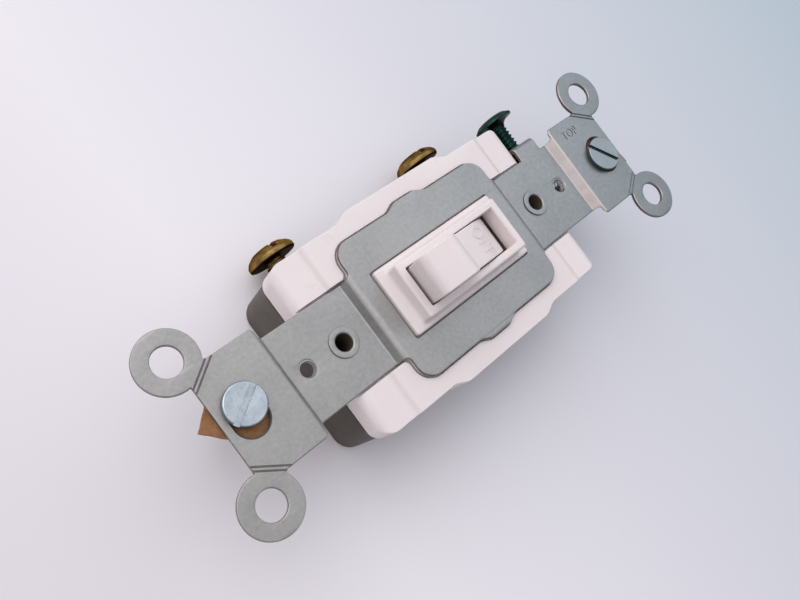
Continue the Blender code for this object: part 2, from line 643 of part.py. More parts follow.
def make_mounting_screw(name, centre, head, turn, zinc):
    """A 6-32 screw, 19 mm long, its head resting on the flange; head is its (radius, height) outline."""
    profile = [(0, -19 * MM), (1.3 * MM, -19 * MM), (1.65 * MM, -18.4 * MM), (1.65 * MM, 0)] + head
    base = Vector((*centre, FACE_Z + CLEARANCE / 2))
    screw = turned(name, profile, base, (0, 0, 1), 28)
    along = (math.cos(math.radians(turn)), math.sin(math.radians(turn)), 0)
    top = head[-1][1]
    slot_across(screw, base + Vector((0, 0, top)), (0, 0, 1), along, 0.95 * MM, top * 0.6)
    return finish(screw, zinc)


def make_washer(name, centre, screw, turn, fibre):
    """A square of fibreboard that holds the mounting screw behind the flange."""
    top = FACE_Z - STRAP_THICK - CLEARANCE / 2
    spin = Matrix.Rotation(math.radians(turn), 2)
    corners = [spin @ Vector(p) for p in rectangle(WASHER_HALF, WASHER_HALF, 0.3 * MM, 2)]
    washer = prism(name, shifted(corners, *centre), "XY", top - 0.8 * MM, top)
    hole = arc(screw, 1.85 * MM, 0, 340, 17)
    cut(washer, prism(name + "_hole", hole, "XY", 15 * MM, 25 * MM))
    return finish(washer, fibre)


# ---------------------------------------------------------------- assembly

def main():
    for obj in list(bpy.data.objects):
        bpy.data.objects.remove(obj, do_unlink=True)
    steel = material("galvanised_steel", (0.36, 0.39, 0.40), 0.42, 0.9)
    white = material("white_plastic", (0.80, 0.75, 0.745), 0.42)
    dark = material("dark_plastic", (0.085, 0.072, 0.068), 0.55)
    brass = material("aged_brass", (0.42, 0.29, 0.10), 0.38, 0.95)
    green = material("green_ground_screw", (0.02, 0.13, 0.10), 0.35, 0.6)
    zinc = material("zinc_screw", (0.55, 0.58, 0.60), 0.3, 0.95)
    fibre = material("fibreboard", (0.45, 0.20, 0.08), 0.85)
    spring_steel = material("spring_steel", (0.5, 0.5, 0.52), 0.3, 0.95)
    silver = material("silver_contact", (0.75, 0.74, 0.70), 0.25, 0.95)
    rubber = material("black_rubber", (0.02, 0.02, 0.02), 0.8)

    make_strap(steel)
    make_front_cover(white)
    make_rear_body(dark)
    make_eyelet("eyelet_bottom", -1, steel)
    make_eyelet("eyelet_top", 1, steel)
    make_toggle(white)
    make_detent_spring(spring_steel)
    make_spring_cup(dark)
    make_bumper("bumper_off", 1, rubber)
    make_bumper("bumper_on", -1, rubber)
    make_contact_arm(brass)
    make_moving_contact(silver)
    make_contact_spring(spring_steel)
    make_line_terminal(brass)
    make_fixed_contact(silver)
    make_load_terminal(brass)
    make_terminal_screw("line_screw", -1, TERMINAL_HEAD_Y["line"], brass)
    make_terminal_screw("load_screw", 1, TERMINAL_HEAD_Y["load"], brass)
    make_ground_screw(green)
    flat_head = [(3.2 * MM, 0), (3.2 * MM, 1.05 * MM), (2.95 * MM, 1.3 * MM), (0, 1.3 * MM)]
    low_head = [(3.35 * MM, 0), (3.35 * MM, 0.35 * MM), (2.5 * MM, 0.8 * MM), (0, 0.95 * MM)]
    make_mounting_screw("mounting_screw_bottom", BOTTOM_SCREW, flat_head, 32, zinc)
    make_mounting_screw("mounting_screw_top", TOP_SCREW, low_head, 127, zinc)
    make_washer("washer_bottom", (-SLOT_X, 1.3 * MM), BOTTOM_SCREW, 42, fibre)
    make_washer("washer_top", (SLOT_X, 0), TOP_SCREW, 8, fibre)


main()
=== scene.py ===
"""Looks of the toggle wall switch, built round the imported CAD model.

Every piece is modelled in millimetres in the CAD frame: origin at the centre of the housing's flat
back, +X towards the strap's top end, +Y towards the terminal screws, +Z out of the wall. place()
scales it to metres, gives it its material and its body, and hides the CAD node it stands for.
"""

import math
import random

import bmesh
import bpy
from mathutils import Matrix, Vector


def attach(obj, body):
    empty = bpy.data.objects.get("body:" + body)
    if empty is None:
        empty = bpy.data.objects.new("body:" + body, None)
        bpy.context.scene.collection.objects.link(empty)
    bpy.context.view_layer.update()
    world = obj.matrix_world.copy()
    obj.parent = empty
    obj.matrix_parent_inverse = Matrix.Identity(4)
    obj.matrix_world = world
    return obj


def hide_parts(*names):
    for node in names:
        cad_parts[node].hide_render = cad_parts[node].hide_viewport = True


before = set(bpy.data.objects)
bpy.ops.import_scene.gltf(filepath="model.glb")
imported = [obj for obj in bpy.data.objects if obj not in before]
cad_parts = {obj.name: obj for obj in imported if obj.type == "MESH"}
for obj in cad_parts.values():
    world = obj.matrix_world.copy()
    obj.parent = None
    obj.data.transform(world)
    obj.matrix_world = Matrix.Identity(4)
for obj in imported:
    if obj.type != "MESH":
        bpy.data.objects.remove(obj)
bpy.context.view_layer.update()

MM = 0.001

# Strap
FACE_Z = 22.0                 # front of the flanges and the centre plate
STRAP_THICK = 0.8
STRAP_EDGE = 0.17             # rollover of the sheared edges
NECK_Z = 20.18
PLATE_RISER_X = (17.05, 18.15)
BOTTOM_FLANGE_RISER = ((-34.0, 0.95), (-33.35, 0.4))     # x and bend radius, flange end first
TOP_FLANGE_RISER = ((33.05, 0.4), (34.25, 0.7))
PLATE_HALF = (16.5, 12.6)
PLATE_CORNER_R = 3.0
PLATE_BUMP = (2.2, 13.5)      # the shallow bump in each long side, and its radius
PLATE_BUMP_FOOT_X = 4.2
PLATE_BUMP_R = 2.2
INNER_CORNER_R = 0.9
STRAP_BEYOND_X = 55.0         # past either end
NECK_HALF_Y = 7.55
FLANGE_START_X = 33.9
FLANGE_END_X = 45.7
FLANGE_HALF_Y = 9.4
SCORE_X = 41.7
SCORE_Y = 6.65
EAR = (46.31, 11.85)
EAR_R = 4.74
EAR_HOLE_R = 2.26
EAR_SWEEP = (208, -97)        # degrees
SCORE_GAPS = (-0.1, 0.5)      # two grooves across each ear's neck
SCORE_GROOVE = (0.16, 0.22)   # half width and depth
SCORE_OVERRUN = 0.6
STAMP_SIZE = (3.9, 1.7, 0.12)
STAMP_AT = (38.2, 6.7)
SLOT_X = 41.65
SLOT_R = 2.66                 # below the slot's chamfer
SLOT_HALF = 3.55
SLOT_CHAMFER = 0.25
ROUND_END = 0.999             # of a slot's half width, just short of a pinched outline
PLATE_SCREW_X = 30.15
PLATE_SCREW_R = 1.4
TAPPED_BOTTOM_Z = 18.7
TAPPED_OUTER_R = 2.0
TAPPED_ROWS = 24
EYELET_X = 23.1
EYELET_HOLE_R = 2.1
WINDOW = (13.6, 6.2)
GROUND_X = 29.1
GROUND_Z = 17.0
TAB_HALF_X = 2.65
TAB_Y = 10.4
TAB_BEND_R = 1.0
TAB_END_Z = 13.0
TAB_MARGIN = 0.5
TAB_FLAT_Y = TAB_Y - TAB_BEND_R + TAB_BEND_R * math.pi / 2 + NECK_Z - TAB_BEND_R
GROUND_HOLE_R = 1.9

# Housing
COVER_HALF_X = 26.4
HOUSING_HALF_Y = 15.5
BULGE = (10.0, 16.6)
PLATE_GAP = 0.30              # dark gap between the centre plate and the cover
PARTING_Z = 14.2
RAIL_Z = 21.0
BLOCK_Z = 20.2
CHANNEL_Z = 19.1
CEILING_Z = 17.4
CAVITY_HALF = (20.4, 14.3)
FLOOR_Z = 1.5
POST_FOOT_Z = 1
POST = (3.9, 4.2, 7.4)        # half length, near and far side
BUMPER_RIB = (3.6, 7.3, 8.5, 12.8)                       # the same and its top
EYELET_WELL = (2.8, 0.9)
OPENING_Y = 12.8
TERMINAL_OPENING = (4.6, 4.4, 0.5)                       # half sizes and corner radius
TERMINAL_OPENING_Z = 6.0
HEAD_ROOM = (4.6, 4.85, 0.8)
HEAD_ROOM_Y = 14.3
HEAD_ROOM_Z = 5.55
OUTSIDE_Y = 20
COLLAR_BASE = (13.4, 6.0, 22.7)
COLLAR_RIM = (11.5, 4.9, 25.8)
OPENING = (10.07, 3.55)
MOUTH_GAP = 0.12
MOUTH_DEPTH = 0.18
COVER_ROOM_Y = (5.2, 13.9)
SADDLE_R = 2.3
ABOVE = 30

# Toggle
PIVOT_Z = 15.0
BARREL_R = 12.0
BARREL_WALL = 1.7
BARREL_REACH = 75
TOGGLE_HALF_Y = 3.35
LEVER_END_R = 21.0
LEVER_ROOT_HALF = 4.7
LEVER_TIP_HALF = 3.35
LEVER_TIP_ROUND = 1.9
THROW = 49.2
WEB_HALF = 3.2
SOCKET_DROP = 4.5
SOCKET_R = 2.5
TRUNNION_R = 2.0
LETTER_HEIGHT = 2.8
LETTER_RELIEF = 0.13
LETTER_ANGLE = 46

# Screws
THREAD_PITCH = 0.794          # 32 threads to the inch
TERMINAL_X = 18.0
TERMINAL_Z = 5.5
TERMINAL_HEAD_R = 4.5
LINE_HEAD_Y = 18.5
LOAD_HEAD_Y = 19.0
TERMINAL_HEAD_HEIGHT = 2.4
GROUND_HEAD_Y = 16.1
GROUND_HEAD_R = 3.8
BOTTOM_SCREW = (-41.45, 1.15)
TOP_SCREW = (41.4, -0.15)
MOUNT_HEAD_Z = 22.1
TERMINAL_SHANK = (1.95, 0.36, 9.0)                       # radius, thread depth, length
GROUND_SHANK = (1.5, 0.28, 9.5)
MOUNT_SHANK = (1.5, 0.28, 19.0)
WASHER_HALF = 4.75
WASHER_THICK = 0.8
WASHER_HOLE_R = 1.85
WASHER_WAVER = 0.16


# ---------------------------------------------------------------- outlines

def arc(centre, radius, start, end, steps):
    """Points on an arc, in degrees counter-clockwise from the first axis."""
    angles = [math.radians(start + (end - start) * i / steps) for i in range(steps + 1)]
    return [(centre[0] + radius * math.cos(a), centre[1] + radius * math.sin(a)) for a in angles]


def circle(centre, radius, steps=48):
    return arc(centre, radius, 0, 360 * (steps - 1) / steps, steps - 1)


def rounded(corners, steps=8):
    """A closed outline from (u, v, radius) corners."""
    points = []
    for i, (u, v, radius) in enumerate(corners):
        here = Vector((u, v))
        if radius <= 0:
            points.append((u, v))
            continue
        before = (Vector(corners[i - 1][:2]) - here).normalized()
        after = (Vector(corners[(i + 1) % len(corners)][:2]) - here).normalized()
        half = math.acos(max(-1.0, min(1.0, before.dot(after)))) / 2
        centre = here + (before + after).normalized() * (radius / math.sin(half))
        first = here + before * (radius / math.tan(half)) - centre
        turn = 1 if before.cross(after) < 0 else -1
        for k in range(steps + 1):
            angle = turn * (math.pi - 2 * half) * k / steps
            point = centre + Matrix.Rotation(angle, 2) @ first
            points.append((point.x, point.y))
    return points


def rectangle(half_u, half_v, radius=0.0, steps=8):
    corners = [(half_u, half_v), (-half_u, half_v), (-half_u, -half_v), (half_u, -half_v)]
    return rounded([(u, v, radius) for u, v in corners], steps)


def shifted(points, du, dv):
    return [(u + du, v + dv) for u, v in points]


def bent_line(corners, steps=6):
    """An open line through (u, v, radius) corners; its inner corners are rounded."""
    line = [corners[0][:2]]
    for i in range(1, len(corners) - 1):
        here, radius = Vector(corners[i][:2]), corners[i][2]
        if radius <= 0:
            line.append(corners[i][:2])
            continue
        before = (Vector(corners[i - 1][:2]) - here).normalized()
        after = (Vector(corners[i + 1][:2]) - here).normalized()
        half = math.acos(before.dot(after)) / 2
        centre = here + (before + after).normalized() * (radius / math.sin(half))
        first = here + before * (radius / math.tan(half)) - centre
        turn = 1 if before.cross(after) < 0 else -1
        for k in range(steps + 1):
            point = centre + Matrix.Rotation(turn * (math.pi - 2 * half) * k / steps, 2) @ first
            line.append((point.x, point.y))
    return line + [corners[-1][:2]]


def mirrored_round(quarter):
    """The (u, v, radius) corners of one quarter mirrored into the other three."""
    right = quarter + [(x, -y, r) for x, y, r in reversed(quarter)]
    return right + [(-x, y, r) for x, y, r in reversed(right)]


# ---------------------------------------------------------------- mesh building, in millimetres

PLACE = {"XY": lambda u, v, w: Vector((u, v, w)),
         "XZ": lambda u, v, w: Vector((u, w, v)),
         "YZ": lambda u, v, w: Vector((w, u, v))}


def add_object(name, data):
    obj = bpy.data.objects.new(name, data)
    bpy.context.scene.collection.objects.link(obj)
    return obj


def from_bmesh(name, bm):
    bmesh.ops.remove_doubles(bm, verts=bm.verts, dist=1e-4)
    bmesh.ops.recalc_face_normals(bm, faces=bm.faces)
    mesh = bpy.data.meshes.new(name)
    bm.to_mesh(mesh)
    bm.free()
    return add_object(name, mesh)


def edit(obj, work):
    """Runs work(bm) on the object's mesh."""
    bm = bmesh.new()
    bm.from_mesh(obj.data)
    work(bm)
    bm.to_mesh(obj.data)
    bm.free()
    return obj


def evaluated_mesh(obj):
    graph = bpy.context.evaluated_depsgraph_get()
    graph.update()
    return bpy.data.meshes.new_from_object(obj.evaluated_get(graph))


def apply_modifiers(obj):
    mesh = evaluated_mesh(obj)
    obj.modifiers.clear()
    old = obj.data
    obj.data = mesh
    bpy.data.meshes.remove(old)
    return obj


def prism(name, outline, plane, low, high):
    """The outline extruded along the third axis, with sharp edges."""
    place = PLACE[plane]
    bm = bmesh.new()
    ends = [[bm.verts.new(place(u, v, w)) for u, v in outline] for w in (low, high)]
    for ring in ends:
        bm.faces.new(ring)
    for i in range(len(outline)):
        j = (i + 1) % len(outline)
        bm.faces.new((ends[0][i], ends[0][j], ends[1][j], ends[1][i]))
    return from_bmesh(name, bm)


def block(name, low, high):
    outline = [(low[0], low[1]), (high[0], low[1]), (high[0], high[1]), (low[0], high[1])]
    return prism(name, outline, "XY", low[2], high[2])


def plate(name, outline, holes, plane, low, high, edge, steps=2):
    """A plate with holes whose every edge is rounded by the edge radius."""
    curve = bpy.data.curves.new(name, "CURVE")
    curve.dimensions = "2D"
    curve.fill_mode = "BOTH"
    curve.extrude = (high - low) / 2 - edge
    curve.bevel_depth = edge
    curve.bevel_resolution = steps
    curve.offset = -edge
    for points in [outline] + holes:
        spline = curve.splines.new("POLY")
        spline.points.add(len(points) - 1)
        for point, (u, v) in zip(spline.points, points):
            point.co = (u, v, 0, 1)
        spline.use_cyclic_u = True
    shape = add_object(name, curve)
    mesh = evaluated_mesh(shape)
    bpy.data.objects.remove(shape)
    bpy.data.curves.remove(curve)
    obj = add_object(name, mesh)
    middle = (low + high) / 2

    def work(bm):
        bmesh.ops.remove_doubles(bm, verts=bm.verts, dist=1e-4)
        for vert in bm.verts:
            vert.co = PLACE[plane](vert.co.x, vert.co.y, vert.co.z + middle)
        bm.normal_update()
        bmesh.ops.recalc_face_normals(bm, faces=bm.faces)
        if bm.calc_volume(signed=True) < 0:
            bmesh.ops.reverse_faces(bm, faces=bm.faces)
    return edit(obj, work)


def lathe(name, profile, base, axis, segments=64, closed=False):
    """A turned piece from (radius, height) pairs. A closed one is a ring that stays off the axis.
    A radius may be a function of the angle round the axis, as on a thread."""
    turn = Vector(axis).normalized().to_track_quat("Z", "Y").to_matrix()
    bm = bmesh.new()
    rings = []
    for radius, height in profile:
        if not callable(radius) and radius <= 0:
            rings.append([bm.verts.new(Vector(base) + turn @ Vector((0, 0, height)))])
            continue
        ring = []
        for i in range(segments):
            angle = 2 * math.pi * i / segments
            r = radius(angle) if callable(radius) else radius
            point = Vector((r * math.cos(angle), r * math.sin(angle), height))
            ring.append(bm.verts.new(Vector(base) + turn @ point))
        rings.append(ring)
    pairs = list(zip(rings, rings[1:])) + ([(rings[-1], rings[0])] if closed else [])
    for low, high in pairs:
        for i in range(segments):
            j = (i + 1) % segments
            if len(low) == 1:
                bm.faces.new((low[0], high[j], high[i]))
            elif len(high) == 1:
                bm.faces.new((low[i], low[j], high[0]))
            else:
                bm.faces.new((low[i], low[j], high[j], high[i]))
    return from_bmesh(name, bm)


def lofted(name, layers):
    """A solid through (outline, height) layers in the XY plane, lowest first."""
    bm = bmesh.new()
    rings = [[bm.verts.new((u, v, height)) for u, v in outline] for outline, height in layers]
    bm.faces.new(rings[0])
    bm.faces.new(rings[-1])
    for low, high in zip(rings, rings[1:]):
        for i in range(len(low)):
            j = (i + 1) % len(low)
            bm.faces.new((low[i], low[j], high[j], high[i]))
    return from_bmesh(name, bm)


def combine(target, other, operation):
    """Applies a boolean to the target and removes the other object."""
    modifier = target.modifiers.new("boolean", "BOOLEAN")
    modifier.operation = operation
    modifier.object = other
    modifier.solver = "EXACT"
    apply_modifiers(target)
    bpy.data.objects.remove(other)
    return target


def cut(target, other):
    return combine(target, other, "DIFFERENCE")


def join(target, other):
    return combine(target, other, "UNION")


def dissolve_flat(obj, degrees=0.2):
    """Merges coplanar faces, so that a bevel sees clean edges."""
    def work(bm):
        bmesh.ops.remove_doubles(bm, verts=bm.verts, dist=1e-4)
        bmesh.ops.dissolve_limit(bm, angle_limit=math.radians(degrees), verts=bm.verts,
                                 edges=bm.edges, delimit={"NORMAL"})
    return edit(obj, work)


def bevel(obj, width, segments=3, degrees=32):
    dissolve_flat(obj)
    modifier = obj.modifiers.new("bevel", "BEVEL")
    modifier.width = width
    modifier.segments = segments
    modifier.limit_method = "ANGLE"
    modifier.angle_limit = math.radians(degrees)
    modifier.miter_outer = "MITER_ARC"
    modifier.use_clamp_overlap = True
    return apply_modifiers(obj)


def place(obj, material, body, slot, *nodes, sharp=32):
    """Finishes a piece: metres, material, smooth shading, body, the CAD nodes it replaces; the slot
    is not used.
    """
    obj.data.transform(Matrix.Scale(MM, 4))
    obj.data.materials.clear()
    obj.data.materials.append(material)
    for polygon in obj.data.polygons:
        polygon.material_index = 0
    obj.data.shade_smooth()
    obj.data.set_sharp_from_angle(angle=math.radians(sharp))
    weighted = obj.modifiers.new("weighted", "WEIGHTED_NORMAL")
    weighted.keep_sharp = True
    apply_modifiers(obj)
    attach(obj, body)
    if nodes:
        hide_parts(*nodes)
    return obj


# ---------------------------------------------------------------- materials

class Shader:
    """A node material under construction."""

    def __init__(self, name, colour, roughness, metallic=0.0):
        self.material = bpy.data.materials.new(name)
        self.material.use_nodes = True
        self.nodes = self.material.node_tree.nodes
        self.links = self.material.node_tree.links
        self.bsdf = self.nodes["Principled BSDF"]
        self.bsdf.inputs["Base Color"].default_value = (*colour, 1)
        self.bsdf.inputs["Roughness"].default_value = roughness
        self.bsdf.inputs["Metallic"].default_value = metallic
        self.coords = self.nodes.new("ShaderNodeTexCoord").outputs["Object"]
        self.material.diffuse_color = (*colour, 1)

    def link(self, a, b):
        self.links.new(a, b)

    def stretch(self, scale):
        """Object coordinates scaled per axis."""
        mapping = self.nodes.new("ShaderNodeMapping")
        mapping.inputs["Scale"].default_value = scale
        self.link(self.coords, mapping.inputs["Vector"])
        return mapping.outputs["Vector"]

    def noise(self, scale, detail=3.0, roughness=0.5, vector=None, distortion=0.0):
        node = self.nodes.new("ShaderNodeTexNoise")
        node.inputs["Scale"].default_value = scale
        node.inputs["Detail"].default_value = detail
        node.inputs["Roughness"].default_value = roughness
        node.inputs["Distortion"].default_value = distortion
        self.link(vector or self.coords, node.inputs["Vector"])
        return node.outputs["Fac"]

    def along(self, axis, low, high):
        """0 to 1 between two positions along an axis of the object."""
        split = self.nodes.new("ShaderNodeSeparateXYZ")
        self.link(self.coords, split.inputs[0])
        node = self.nodes.new("ShaderNodeMapRange")
        node.inputs["From Min"].default_value = low
        node.inputs["From Max"].default_value = high
        self.link(split.outputs[axis], node.inputs["Value"])
        return node.outputs["Result"]

    def facing(self, axis, operation, other=0.0):
        """A function of the way a face points along one axis of the object."""
        split = self.nodes.new("ShaderNodeSeparateXYZ")
        self.link(self.nodes.new("ShaderNodeTexCoord").outputs["Normal"], split.inputs[0])
        node = self.nodes.new("ShaderNodeMath")
        node.operation = operation
        node.inputs[1].default_value = other
        self.link(split.outputs[axis], node.inputs[0])
        return node.outputs[0]

    def ramp(self, factor, *stops):
        """A colour ramp of (position, colour) stops; a colour may be one grey number."""
        node = self.nodes.new("ShaderNodeValToRGB")
        elements = node.color_ramp.elements
        while len(elements) < len(stops):
            elements.new(0.5)
        for element, (position, colour) in zip(elements, stops):
            element.position = position
            rgb = (colour,) * 3 if isinstance(colour, (int, float)) else colour
            element.color = (*rgb, 1)
        self.link(factor, node.inputs["Fac"])
        return node.outputs["Color"]

    def mix(self, factor, a, b, blend="MIX"):
        node = self.nodes.new("ShaderNodeMix")
        node.data_type = "RGBA"
        node.blend_type = blend
        for socket, value in (("Factor", factor), ("A", a), ("B", b)):
            target = [s for s in node.inputs if s.name == socket and s.enabled][0]
            if isinstance(value, (int, float)):
                target.default_value = value if socket == "Factor" else (value,) * 3 + (1,)
            elif isinstance(value, tuple):
                target.default_value = (*value, 1)
            else:
                self.link(value, target)
        return [s for s in node.outputs if s.enabled][0]

    def range(self, value, low, high):
        node = self.nodes.new("ShaderNodeMapRange")
        node.inputs["To Min"].default_value = low
        node.inputs["To Max"].default_value = high
        self.link(value, node.inputs["Value"])
        return node.outputs["Result"]

    def bump(self, height, strength, distance, below=None):
        node = self.nodes.new("ShaderNodeBump")
        node.inputs["Strength"].default_value = strength
        node.inputs["Distance"].default_value = distance
        self.link(height, node.inputs["Height"])
        if below is not None:
            self.link(below, node.inputs["Normal"])
        return node.outputs["Normal"]

    def colour(self, value):
        self.link(value, self.bsdf.inputs["Base Color"])

    def rough(self, value):
        self.link(value, self.bsdf.inputs["Roughness"])

    def normal(self, value):
        self.link(value, self.bsdf.inputs["Normal"])


def galvanised_steel():
    """Dull zinc-coated sheet: cloudy, finely speckled, a few stains, brown on near-vertical faces
    (partly the sheared edges, partly painted shade inside the holes), painted shade darker and
    bluer towards the top end, and a painted reflection on the top riser.
    """
    s = Shader("galvanised_steel", (0.38, 0.39, 0.39), 0.45, 0.85)
    cloud = s.ramp(s.noise(110, 3, 0.5), (0.3, (0.375, 0.380, 0.375)),
                   (0.7, (0.445, 0.447, 0.440)))
    speckle = s.ramp(s.noise(1500, 3, 0.7), (0.35, (0.29, 0.30, 0.30)), (0.65, (0.54, 0.54, 0.535)))
    colour = s.mix(0.24, cloud, speckle)
    stain = s.ramp(s.noise(75, 5, 0.65, distortion=0.4), (0.56, 0.0), (0.72, 1.0))
    colour = s.mix(s.range(stain, 0.0, 0.30), colour, (0.33, 0.29, 0.24))
    # Painted shade: the sheet darkens and turns bluish towards the top end (+X) and warms a little
    # at the bottom end, as the light falls off across the strap.
    along = s.ramp(s.along("X", -0.05, 0.05), (0.0, (0.92, 0.895, 0.86)),
                   (0.5, (0.97, 0.965, 0.955)), (1.0, (0.68, 0.75, 0.78)))
    colour = s.mix(1.0, colour, along, "MULTIPLY")
    # Painted reflection: faces turned towards -X at the top end, chiefly the riser up to the top
    # flange, are painted a pale pink.
    painted_riser_reflection = s.ramp(s.facing("X", "MULTIPLY", -1.0), (0.45, 0.0), (0.72, 1.0))
    colour = s.mix(s.mix(s.along("X", 0.02, 0.03), 0.0, painted_riser_reflection), colour, (0.74, 0.67, 0.65))
    # Brown on near-vertical faces: partly the bare sheared edges, partly painted shade that darkens
    # the insides of the holes, the bores and the tapped threads.
    side = s.ramp(s.facing("Z", "ABSOLUTE"), (0.10, 1.0), (0.32, 0.0))
    colour = s.mix(s.range(side, 0.0, 0.9), colour, (0.11, 0.075, 0.05))
    s.colour(colour)
    s.rough(s.range(s.noise(900, 4, 0.6), 0.34, 0.52))
    s.link(s.range(side, 0.85, 0.3), s.bsdf.inputs["Metallic"])
    fine = s.bump(s.noise(2200, 3, 0.6), 0.16, 0.00006)
    s.normal(s.bump(s.noise(240, 3, 0.5), 0.10, 0.0003, fine))
    return s.material


def white_plastic():
    """Satin moulded plastic, slightly warm, with faint soiling in patches and a few specks."""
    s = Shader("white_plastic", (0.80, 0.745, 0.74), 0.4)
    tone = s.ramp(s.noise(70, 3, 0.5), (0.3, (0.825, 0.745, 0.735)), (0.7, (0.865, 0.795, 0.780)))
    grime = s.ramp(s.noise(260, 6, 0.72), (0.60, 0.0), (0.78, 1.0))
    tone = s.mix(s.range(grime, 0.0, 0.22), tone, (0.52, 0.42, 0.34))
    patch = s.ramp(s.noise(55, 2, 0.5), (0.52, 0.0), (0.60, 1.0))
    specks = s.ramp(s.noise(1300, 2, 0.5), (0.69, 0.0), (0.73, 1.0))
    tone = s.mix(s.mix(patch, 0.0, specks), tone, (0.33, 0.26, 0.19))
    s.colour(tone)
    s.rough(s.range(s.noise(500, 3, 0.5), 0.33, 0.5))
    s.bsdf.inputs["Subsurface Weight"].default_value = 0.12
    s.bsdf.inputs["Subsurface Radius"].default_value = (0.0012, 0.0009, 0.0008)
    s.bsdf.inputs["Subsurface Scale"].default_value = 1.0
    fine = s.bump(s.noise(1700, 2, 0.5), 0.05, 0.00004)
    s.normal(s.bump(s.noise(180, 2, 0.5), 0.06, 0.0003, fine))
    return s.material


def dark_plastic():
    """Brown-black phenolic moulding with a fine mineral fleck."""
    s = Shader("dark_plastic", (0.085, 0.072, 0.068), 0.5)
    tone = s.ramp(s.noise(140, 4, 0.6), (0.3, (0.060, 0.047, 0.036)), (0.7, (0.095, 0.076, 0.058)))
    fleck = s.ramp(s.noise(2400, 2, 0.5), (0.62, 0.0), (0.74, 1.0))
    s.colour(s.mix(s.range(fleck, 0.0, 0.30), tone, (0.17, 0.14, 0.11)))
    s.rough(s.range(s.noise(420, 3, 0.5), 0.42, 0.62))
    s.normal(s.bump(s.noise(1500, 3, 0.6), 0.10, 0.00005))
    return s.material


def aged_brass():
    """Tarnished brass: golden where it rubs, brown elsewhere, with painted shade on the faces
    turned towards -Y, under the heads.
    """
    s = Shader("aged_brass", (0.36, 0.25, 0.09), 0.36, 0.95)
    tone = s.ramp(s.noise(330, 4, 0.6), (0.32, (0.12, 0.075, 0.028)), (0.5, (0.27, 0.175, 0.060)),
                  (0.72, (0.50, 0.35, 0.13)))
    # Painted shade: faces turned towards -Y, the undersides of the heads against the housing, are
    # darkened almost to black-brown.
    painted_underside_shade = s.ramp(s.facing("Y", "MULTIPLY", -1.0), (0.05, 0.0), (0.55, 1.0))
    s.colour(s.mix(s.range(painted_underside_shade, 0.0, 0.9), tone, (0.030, 0.018, 0.010)))
    s.rough(s.range(s.noise(600, 3, 0.6), 0.24, 0.46))
    s.bsdf.inputs["Specular Tint"].default_value = (0.25, 0.17, 0.09, 1)
    s.normal(s.bump(s.noise(1900, 3, 0.6), 0.14, 0.00006))
    return s.material


def green_ground_screw():
    """Glossy black-green dyed finish, worn a little on the edges, with painted shade on the faces
    turned towards -Y, under the head.
    """
    s = Shader("green_ground_screw", (0.01, 0.07, 0.055), 0.28, 0.85)
    tone = s.ramp(s.noise(420, 4, 0.6), (0.3, (0.004, 0.022, 0.018)), (0.7, (0.012, 0.080, 0.066)))
    # Painted shade: faces turned towards -Y, the underside of the head, are darkened to near black.
    painted_underside_shade = s.ramp(s.facing("Y", "MULTIPLY", -1.0), (0.05, 0.0), (0.55, 1.0))
    s.colour(s.mix(s.range(painted_underside_shade, 0.0, 0.8), tone, (0.004, 0.014, 0.010)))
    s.rough(s.range(s.noise(700, 3, 0.6), 0.18, 0.36))
    s.bsdf.inputs["Specular Tint"].default_value = (0.06, 0.16, 0.14, 1)
    s.bsdf.inputs["Coat Weight"].default_value = 0.25
    s.bsdf.inputs["Coat Roughness"].default_value = 0.12
    s.normal(s.bump(s.noise(2100, 3, 0.6), 0.10, 0.00005))
    return s.material


def zinc_screw():
    """Bright zinc plate, faintly blue, with fine turning marks; painted shade darkens the side
    walls and the whole top screw.
    """
    s = Shader("zinc_screw", (0.50, 0.56, 0.60), 0.28, 0.95)
    tone = s.ramp(s.noise(380, 4, 0.6), (0.3, (0.40, 0.47, 0.51)), (0.7, (0.58, 0.64, 0.68)))
    dull = s.ramp(s.noise(1100, 4, 0.7), (0.52, 0.0), (0.70, 1.0))
    colour = s.mix(s.range(dull, 0.0, 0.45), tone, (0.24, 0.27, 0.29))
    # Painted shade: the top mounting screw (x > 0) is darkened to the tone of the shaded strap
    # round it.
    colour = s.mix(s.range(s.along("X", 0.0, 0.01), 0.0, 0.85), colour, (0.26, 0.295, 0.31))
    # Painted shade: the near-vertical faces, the heads' side walls, the slot walls and the threads,
    # are darkened.
    side = s.ramp(s.facing("Z", "ABSOLUTE"), (0.25, 1.0), (0.60, 0.0))
    s.colour(s.mix(s.range(side, 0.0, 0.8), colour, (0.05, 0.05, 0.05)))
    s.rough(s.range(s.noise(900, 3, 0.6), 0.18, 0.40))
    s.normal(s.bump(s.noise(1600, 3, 0.6), 0.20, 0.00006))
    return s.material


def fibreboard():
    """Brown pressed paper board with fibres and a few pale flecks."""
    s = Shader("fibreboard", (0.33, 0.155, 0.07), 0.85)
    fibre = s.noise(2200, 4, 0.7, s.stretch((0.6, 1.4, 1.0)))
    tone = s.ramp(fibre, (0.3, (0.20, 0.085, 0.030)), (0.7, (0.37, 0.180, 0.075)))
    blotch = s.ramp(s.noise(420, 3, 0.6), (0.40, 0.0), (0.75, 1.0))
    s.colour(s.mix(s.range(blotch, 0.0, 0.35), tone, (0.40, 0.23, 0.12)))
    s.rough(s.range(fibre, 0.75, 0.95))
    s.normal(s.bump(fibre, 0.5, 0.0001))
    return s.material


def spring_steel():
    s = Shader("spring_steel", (0.5, 0.5, 0.52), 0.3, 0.95)
    s.colour(s.ramp(s.noise(900, 3, 0.6), (0.3, (0.36, 0.36, 0.38)), (0.7, (0.56, 0.56, 0.58))))
    s.rough(s.range(s.noise(1500, 3, 0.6), 0.22, 0.40))
    return s.material


